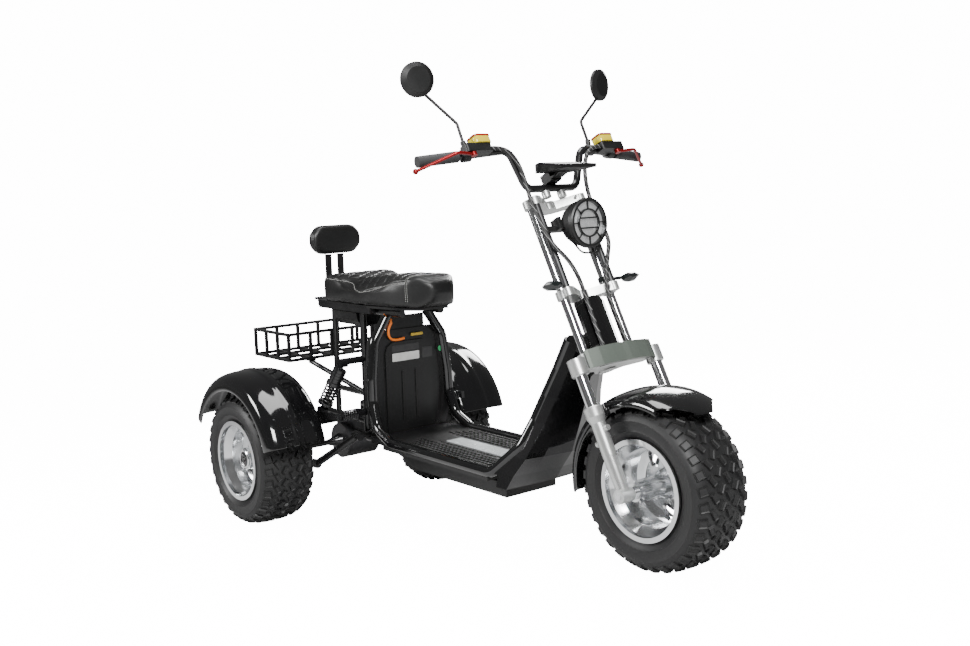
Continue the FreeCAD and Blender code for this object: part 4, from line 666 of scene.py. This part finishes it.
side_seams = []
for s in (-1, 1):
    needles = []
    for i in range(330):
        x = 12 + i * 1.5
        start = body @ Vector((x / 1000, s * 0.2, wave(x) / 1000))
        aim = body @ Vector((x / 1000, 0, (wave(x) - 6) / 1000))
        needles.append((start, (aim - start).normalized()))
    side_seams.append(seam_line(saddle, needles))
nose_x = 506
nose_low = -0.28  # sine of the angle at which the nose seam ends on each side
nose_needles = []
for i in range(260):
    turn = math.radians(-76 + i * 332 / 260 - 14)
    reach = Vector((nose_x, 190 * math.cos(turn), 770 + 190 * math.sin(turn))) / 1000
    centre = Vector((nose_x, 0, 770)) / 1000
    start, aim = body @ reach, body @ centre
    if math.sin(turn) > nose_low:
        nose_needles.append((start, (aim - start).normalized()))
nose_seam = seam_line(saddle, nose_needles)
for line in side_seams + [nose_seam]:
    sewn(saddle, line, 0.0026, 0.0024)
quilt_pitch = 46.0
quilt_depth = 4.4
quilt_width = 4.0
for v in saddle.data.vertices:
    p = to_body @ v.co * 1000
    if p.z < 760 or p.x > 500 or p.x < 24:
        continue
    inside = ramp(p.z - wave(p.x), 3, 12) * (1 - ramp(p.x, 484, 498)) * ramp(p.x, 26, 40)
    a = (p.x + 0.72 * p.y) / quilt_pitch
    b = (p.x - 0.72 * p.y) / quilt_pitch
    gap = min(abs(a - round(a)), abs(b - round(b))) * quilt_pitch * 0.8
    p.z -= quilt_depth * math.exp(-(gap / quilt_width) ** 2) * inside
    v.co = body @ (p / 1000)
solo(saddle)
bpy.ops.object.shade_smooth()
fitted(saddle, leather, "chassis", "seat_cushion")
for i, line in enumerate(side_seams):
    stitches("side_stitches_%d" % i, line, 0.003, 0.0052, thread, "chassis")
for i, offset in enumerate((-0.0034, 0.0034)):
    stitches("nose_stitches_%d" % i, nose_seam, offset, 0.0052, thread, "chassis")


# ---------------------------------------------------------------------------
# Backrest pad: the same leather over foam on a moulded back, with a seam round its
# chamfered edge.  Two posts behind the saddle carry it.
pad = stuffed("backrest_cover", "backrest_cushion", (0.9, 0.97, 0.97), 0.0045, 0.004)
rim_needles = []
for i in range(260):
    turn = math.radians(i * 360 / 260)
    centre = Vector((-73 + 8, 0, 930)) / 1000
    reach = centre + Vector((0, 0.16 * math.cos(turn), 0.16 * math.sin(turn)))
    start, aim = body @ reach, body @ centre
    rim_needles.append((start, (aim - start).normalized()))
rim_seam = seam_line(pad, rim_needles)
sewn(pad, rim_seam, 0.0024, 0.0024)
solo(pad)
bpy.ops.object.shade_smooth()
fitted(pad, leather, "chassis", "backrest_cushion")


# ---------------------------------------------------------------------------
# Guards and leg shield: mouldings in gloss black, screwed to the frame, with a deep
# wet shine and almost no grain.
gloss_black = finish("black_gloss", (0.0035, 0.0035, 0.004), (0.006, 0.006, 0.006),
                     0, 0.06, 0.14, 60, 0.000006, 5, 0.6)
dress(gloss_black, "mudguard", "rear_fenders", "leg_shield", "side_rails")


# ---------------------------------------------------------------------------
# Floor, battery housing and bar controls: grained black plastic mouldings, with a
# satin surface that hides scratches.  The signals have smooth smoked lenses.
matt_black = finish("grained_black_moulding", (0.004, 0.004, 0.0042), (0.008, 0.008, 0.008),
                    0, 0.36, 0.52, 900, 0.0001)
dress(matt_black, "floor_deck", "battery_box", "display", "brake_controls", "mirrors",
      "under_tray", "headlight")
signal_black = finish("signal_lens_black", (0.006, 0.009, 0.009), (0.01, 0.012, 0.012), 0,
                      0.1, 0.18, 200, 0.00004, 8, 0.6)
dress(signal_black, "signals")


# ---------------------------------------------------------------------------
# Frame, rack and suspension: steel tubes and brackets, welded and then dipped in
# black enamel.  The drive unit below them is a bare grey casting.
frame_black = finish("black_frame", (0.007, 0.007, 0.008), (0.012, 0.012, 0.012), 0, 0.2,
                     0.34, 160, 0.00008, 9, 0.3)
dress(frame_black, "main_frame", "basket", "basket_struts", "lower_arms", "uprights",
      "backrest_posts", "seat_plate", "handlebar", "side_springs", "shocks", "half_shafts",
      "brake_caliper")
drive_grey = finish("drive_casting", (0.10, 0.10, 0.105), (0.07, 0.07, 0.07), 0.7, 0.4,
                    0.55, 300, 0.0003)
dress(drive_grey, "drive_unit")


# ---------------------------------------------------------------------------
# Brake levers and grips: levers of red anodised alloy on the controls, and rubber
# grips pushed over the ends of the bar.
red_anodised = finish("red_anodised", (0.30, 0.008, 0.01), (0.22, 0.006, 0.008), 0.6, 0.24,
                      0.36, 600, 0.00004)
dress(red_anodised, "brake_levers")
grip_rubber = finish("grip_rubber", (0.02, 0.021, 0.022), (0.03, 0.03, 0.031), 0, 0.5, 0.62,
                     600, 0.0002)
dress(grip_rubber, "grips")


# ---------------------------------------------------------------------------
# Headlight lens: clear plastic over a silvered reflector, held by the grille.  Its
# many small facets show as a coarse grain, with a faint painted glow, an emission that
# stands in for the daylight that they catch.
lens_metal = finish("lamp_reflector", (0.92, 0.93, 0.94), (0.62, 0.64, 0.66), 0.85, 0.06,
                    0.2, 70, 0.002, 90)
lens_shader = lens_metal.node_tree.nodes["Principled BSDF"]
lens_shader.inputs["Emission Color"].default_value = (1, 1, 1, 1)
# Painted light: this faint emission is a painted glow for daylight caught by the facets, not
# a lit lamp.
lens_shader.inputs["Emission Strength"].default_value = 0.25
dress(lens_metal, "headlight_lens")


# ---------------------------------------------------------------------------
# Rear fenders: vacuum-formed gloss black arches with a ridge along the crest, a
# rolled edge at the skirt and two screws on the rear of each.


def arched(name, profile, start, sweep, steps):
    """Arch about the Y axis: a line of (radius, across) points spun upwards."""
    bpy.ops.mesh.primitive_plane_add(size=0.001, location=(0, 0, 0))
    piece = bpy.context.object
    piece.name = name
    edit(piece, kind="VERT")
    bpy.ops.mesh.merge(type="CENTER")
    here = Vector((0, 0, 0))
    for i, (radius, across) in enumerate(profile):
        there = tilt(-start, "Y") @ (Vector((radius, across, 0)) / 1000)
        step = there - here
        if i == 0:
            bpy.ops.transform.translate(value=step)
        else:
            bpy.ops.mesh.extrude_region_move(TRANSFORM_OT_translate={"value": step})
        here = there
    bpy.ops.mesh.select_all(action="SELECT")
    bpy.ops.mesh.spin(steps=steps, angle=math.radians(sweep), center=(0, 0, 0),
                      axis=(0, 1, 0))
    bpy.ops.mesh.select_all(action="SELECT")
    bpy.ops.mesh.remove_doubles(threshold=0.00001)
    done()
    return piece


def face_out(piece, centre):
    """Turns an open skin so that it faces away from a point, in millimetres."""
    middle = Vector(centre) / 1000
    facing = sum((f.center - middle).dot(f.normal) * f.area for f in piece.data.polygons)
    if facing < 0:
        piece.data.flip_normals()


def skin(piece, wall, levels=1):
    """Gives an open skin its wall, inwards, and rounds its edge."""
    solo(piece)
    wall_of = piece.modifiers.new("wall", "SOLIDIFY")
    wall_of.thickness = wall / 1000
    wall_of.offset = -1
    bpy.ops.object.modifier_apply(modifier="wall")
    if levels:
        smooth = piece.modifiers.new("smooth", "SUBSURF")
        smooth.levels = levels
        smooth.render_levels = levels
        bpy.ops.object.modifier_apply(modifier="smooth")


crest = (280 + 505) / 2  # midway between the inner and outer skirts
fender_line = [(248, 280), (262, 280.6), (274, 282), (286, 286.5), (293, 292), (301, 303),
               (306, 322), (308.5, 338), (309.8, crest - 30), (310.6, crest - 19),
               (312.6, crest - 14), (313.8, crest - 9), (314, crest), (313.8, crest + 9),
               (312.6, crest + 14), (310.6, crest + 19), (309.8, crest + 30), (308.5, 447),
               (306, 463), (301, 482), (293, 493), (286, 498.5), (274, 503), (262, 504.6),
               (254, 505), (249, 504), (246.5, 501.5), (248, 499)]
fender = arched("rear_fender", fender_line, 12, 140, 26)
face_out(fender, (0, crest, 0))
skin(fender, 3)
fender_pair = []
for side in (-1, 1):
    half = copy_of(fender, "rear_fender_half")
    if side < 0:
        half.data.transform(Matrix.Scale(-1, 4, (0, 1, 0)))
        half.data.flip_normals()
    fender_pair.append(half)
bpy.data.objects.remove(fender)
both_fenders = joined("rear_fender_skins", fender_pair)
rear_axle = trike @ spot(0, 0, wheel_height)
settle(both_fenders, rear_axle, 60)
fitted(both_fenders, gloss_black, "chassis", "rear_fenders")
dark_screw = finish("black_screw", (0.03, 0.03, 0.03), (0.045, 0.045, 0.045), 0.6, 0.3, 0.42,
                    800, 0.00003)
fender_screws = []
for side in (-1, 1):
    for turn in (137, 146):
        fender_screws.append(rear_axle @ tilt(-turn, "Y")
                             @ spot(311, side * 352, 0) @ tilt(90, "Y"))
screws("fender_screws", 5.2, 4, fender_screws, dark_screw, "chassis")


# ---------------------------------------------------------------------------
# Front mudguard: the same gloss moulding over the front wheel, with a crowned top,
# straight skirts and a nose cut to a blunt point.  It is bolted to the fork legs
# through two lugs.
half_guard = [(226, -109), (240, -107), (250, -98), (258, -80), (263, -54), (266, -28)]
guard_line = half_guard + [(268, 0)] + [(r, -y) for r, y in reversed(half_guard)]
guard = arched("front_mudguard", guard_line, 27, 137, 40)
face_out(guard, (0, 0, 0))
edit(guard)
for side in (-1, 1):
    for near, far in (((130, 130), (196, 92)), ((196, 92), (244, 14))):
        first, second = (Vector((x / 1000, side * y / 1000, 0)) for x, y in (near, far))
        outward = Vector(((near[1] - far[1]), side * (far[0] - near[0]), 0)).normalized()
        bpy.ops.mesh.select_all(action="SELECT")
        bpy.ops.mesh.bisect(plane_co=first, plane_no=outward, clear_outer=True)
done()
skin(guard, 3, 1)
guard.data.transform(spot(fork_offset, 0, 0))
guard_lug_size = (0.030, 0.0147, 0.034)
guard_parts = [guard]
for side in (-1, 1):
    bpy.ops.mesh.primitive_cube_add(size=1, location=(0, 0, 0))
    lug_plate = bpy.context.object
    edit(lug_plate)
    bpy.ops.transform.resize(value=guard_lug_size)
    bpy.ops.transform.translate(value=(fork_offset / 1000, side * 0.11235, 0.231))
    done()
    rounded(lug_plate, 0.0015)
    guard_parts.append(lug_plate)
guard = joined("front_mudguard", guard_parts)
settle(guard, fork, 60)
fitted(guard, gloss_black, "steering", "mudguard")


# ---------------------------------------------------------------------------
# Wiring: one loom from each switch, in black braid with a light tracer thread.  It
# lies along the bar and the fork tubes and goes in behind the lower yoke.
braid_tracer = finish("black_plastic", (0.010, 0.010, 0.010), (0.018, 0.018, 0.018), 0, 0.45,
                      0.6, 300, 0.0002)
tracer_tree = braid_tracer.node_tree
tracer = tracer_tree.nodes.new("ShaderNodeTexWave")
tracer.bands_direction = "DIAGONAL"
tracer.inputs["Scale"].default_value = 34
tracer.inputs["Distortion"].default_value = 1.5
tracer_edge = tracer_tree.nodes.new("ShaderNodeMapRange")
tracer_edge.inputs["From Min"].default_value = 0.965
tracer_edge.inputs["From Max"].default_value = 0.99
tracer_mix = tracer_tree.nodes.new("ShaderNodeMix")
tracer_mix.data_type = "RGBA"
tracer_mix.inputs["B"].default_value = (0.3, 0.3, 0.3, 1)
tracer_shader = tracer_tree.nodes["Principled BSDF"]
tracer_dark = tracer_shader.inputs["Base Color"].links[0].from_socket
tracer_tree.links.new(tracer_dark, tracer_mix.inputs["A"])
tracer_place = tracer_tree.nodes.new("ShaderNodeTexCoord")
link(tracer_tree, tracer_place, "Object", tracer, "Vector")
tracer_tree.links.new(tracer.outputs["Fac"], tracer_edge.inputs["Value"])
tracer_tree.links.new(tracer_edge.outputs["Result"], tracer_mix.inputs["Factor"])
tracer_tree.links.new(tracer_mix.outputs["Result"], tracer_shader.inputs["Base Color"])


def cable(name, route, radius, place, material, body_name):
    """Round cable along a smooth line that its route points steer."""
    curve = bpy.data.curves.new(name, "CURVE")
    curve.dimensions = "3D"
    line = curve.splines.new("NURBS")
    line.points.add(len(route) - 1)
    for point, where in zip(line.points, route):
        point.co = (*(place @ (Vector(where) / 1000)), 1)
    line.order_u = 3
    line.use_endpoint_u = True
    line.resolution_u = 10
    curve.bevel_depth = radius / 1000
    curve.bevel_resolution = 3
    curve.use_fill_caps = True
    piece = bpy.data.objects.new(name, curve)
    bpy.context.collection.objects.link(piece)
    solo(piece)
    bpy.ops.object.convert(target="MESH")
    piece = bpy.context.object
    bpy.ops.object.shade_smooth()
    return fitted(piece, material, body_name)


loom_route = [(88, 210, 1005), (95, 166, 1003), (84, 128, 962), (70, 115, 900),
              (62, 114, 840), (68, 112, 775), (80, 112, 708), (84, 76, 656),
              (74, 52, 604), (64, 44, 550), (62, 44, 492), (62, 46, 440), (62, 46, 393.3)]
for side, name in ((-1, "loom_right"), (1, "loom_left")):
    route = [(x, y * side, z) for x, y, z in loom_route]
    loom = cable(name, route, 6.2, fork, braid_tracer, "steering")
    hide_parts("looms")


# ---------------------------------------------------------------------------
# Battery housing trim: two bare label plates and a round one, a webbing strap that
# the battery is lifted by, and a yellow tag.  All are glued to the housing.


def plate(name, centre, size, material, body_name, place=None, thick=0.8, corner=3.0):
    """Thin plate with rounded corners that faces its own Z, in millimetres."""
    place = body if place is None else place
    bpy.ops.mesh.primitive_plane_add(size=1, location=(0, 0, 0))
    piece = bpy.context.object
    piece.name = name
    edit(piece)
    bpy.ops.transform.resize(value=(size[0] / 1000, size[1] / 1000, 1))
    done()
    edit(piece, kind="VERT", pick="ALL")
    bpy.ops.mesh.bevel(offset=corner / 1000, segments=4, affect="VERTICES")
    bpy.ops.mesh.select_all(action="SELECT")
    bpy.ops.mesh.extrude_region_move(
        TRANSFORM_OT_translate={"value": (0, 0, thick / 1000)})
    bpy.ops.mesh.select_all(action="SELECT")
    bpy.ops.mesh.normals_make_consistent(inside=False)
    done()
    settle(piece, place @ spot(*centre), 30)
    return fitted(piece, material, body_name)


facing_ahead = tilt(90, "Y")
label_pale = finish("label_pale", (0.62, 0.62, 0.6), (0.5, 0.5, 0.48), 0, 0.3, 0.45, 300,
                    0.00003, 40)
label_dark = finish("label_dark", (0.02, 0.02, 0.021), (0.03, 0.03, 0.03), 0, 0.3, 0.4, 300,
                    0.00003, 40)
label_green = finish("label_green", (0.03, 0.36, 0.12), (0.02, 0.28, 0.09), 0, 0.3, 0.4, 300,
                     0.00003, 40)
tag_yellow = finish("tag_yellow", (0.75, 0.50, 0.05), (0.6, 0.42, 0.05), 0, 0.4, 0.5, 300,
                    0.00003, 40)
webbing = finish("orange_webbing", (0.85, 0.20, 0.015), (0.7, 0.15, 0.01), 0, 0.5, 0.65, 900,
                 0.0002, 60)
panel = body @ spot(373, 0, 0)
for name, y, z, wide, high, material in (
        ("label_top", -12, 571, 112, 22, label_dark),
        ("label_bottom", -12, 541, 112, 28, label_pale),
        ("label_side", 78, 545, 44, 36, label_dark),
        ("battery_tag", 38, 613, 50, 9, tag_yellow)):
    ahead = panel @ spot(0, y, z) @ facing_ahead
    plate(name, (0, 0, 0), (high, wide), material, "chassis", ahead)
plate("label_round", (0, 0, 0), (19, 19), label_green, "chassis",
      body @ spot(379.2, 131, 552) @ facing_ahead, corner=9.2)
strap_route = [(368, -90, 697), (376, -60, 672), (378, -86, 642), (378, -80, 608),
               (378, -50, 600), (375, -18, 604)]
cable("battery_strap", strap_route, 4.5, body, webbing, "chassis")


# ---------------------------------------------------------------------------
# Deck panel: a pale bare plate let into the middle of the floor, between the ribs
# that keep the rider's feet from slipping.
deck_panel = finish("deck_panel", (0.62, 0.65, 0.66), (0.5, 0.52, 0.53), 0.3, 0.2, 0.32, 300,
                    0.00003, 20)
plate("deck_panel", (760, 0, 285.2), (290, 66), deck_panel, "chassis", corner=4, thick=1.6)


# ---------------------------------------------------------------------------
# Brake fluid cups: clear amber moulded cups on the brake controls, each under a red
# lid that two screws hold.
amber_cup = finish("amber_cup", (0.72, 0.60, 0.03), (0.66, 0.5, 0.03), 0, 0.1, 0.2, 300,
                   0.00003, 20, 0.5)
dress(amber_cup, "brake_cups")
lid_red = finish("lid_red", (0.34, 0.012, 0.012), (0.25, 0.01, 0.01), 0, 0.18, 0.3, 300,
                 0.00003, 30, 0.4)
cup_ahead = 80.7
cup_out = 238.1
cups = []
lids = []
for side in (-1, 1):
    for parts, size, rise in ((cups, (44, 58, 19.6), 1027.8), (lids, (46, 60, 5.4), 1040.6)):
        bpy.ops.mesh.primitive_cube_add(size=1, location=(0, 0, 0))
        shell = bpy.context.object
        edit(shell)
        bpy.ops.transform.resize(value=[length / 1000 for length in size])
        done()
        edit(shell, kind="EDGE")
        mesh = bmesh.from_edit_mesh(shell.data)
        for edge in mesh.edges:
            edge.select = abs((edge.verts[0].co - edge.verts[1].co).z) > 0.001
        bmesh.update_edit_mesh(shell.data)
        bpy.ops.mesh.bevel(offset=0.013, segments=6, affect="EDGES")
        done()
        rounded(shell, 0.0015)
        shell.data.transform(spot(cup_ahead, side * cup_out, rise))
        parts.append(shell)
cup_pair = settle(joined("fluid_cups", cups), fork, 40)
fitted(cup_pair, amber_cup, "steering", "brake_cups")
lid_pair = settle(joined("fluid_cup_lids", lids), fork, 40)
fitted(lid_pair, lid_red, "steering")
lid_screws = [fork @ spot(cup_ahead, side * cup_out + off, 1043.2)
              for side in (-1, 1) for off in (-20, 20)]
screws("lid_screws", 2.6, 1.6, lid_screws, dark_screw, "steering")


# ---------------------------------------------------------------------------
# Mirror glass: a silvered disc set in the back of each mirror shell, on the side
# that the rider sees.
glass = finish("mirror_glass", (0.86, 0.88, 0.9), (0.8, 0.82, 0.84), 1.0, 0.02, 0.05, 40,
               0.000001, 3)
panes = []
for side in (-1, 1):
    centre = trike @ Vector((1.060, side * 0.350, 1.378))
    facing = Vector((-1, -0.25 * side, 0.05)).normalized()
    shell = [v.co for v in nodes["mirrors"].data.vertices if (v.co - centre).length < 0.06]
    reach = max((c - centre).dot(facing) for c in shell)
    pane = turned("pane", [(0, 0), (30, 0), (44.5, 0), (45.5, -0.5), (45.5, -1.2), (0, -1.2)],
                  48)
    aim = facing.to_track_quat("Y", "Z").to_matrix().to_4x4()
    pane.data.transform(Matrix.Translation(centre + facing * (reach + 0.0006)) @ aim)
    panes.append(pane)
solo(panes[0])
mirror_panes = joined("mirror_glass", panes)
bpy.ops.object.shade_smooth_by_angle(angle=math.radians(30))
fitted(mirror_panes, glass, "steering")
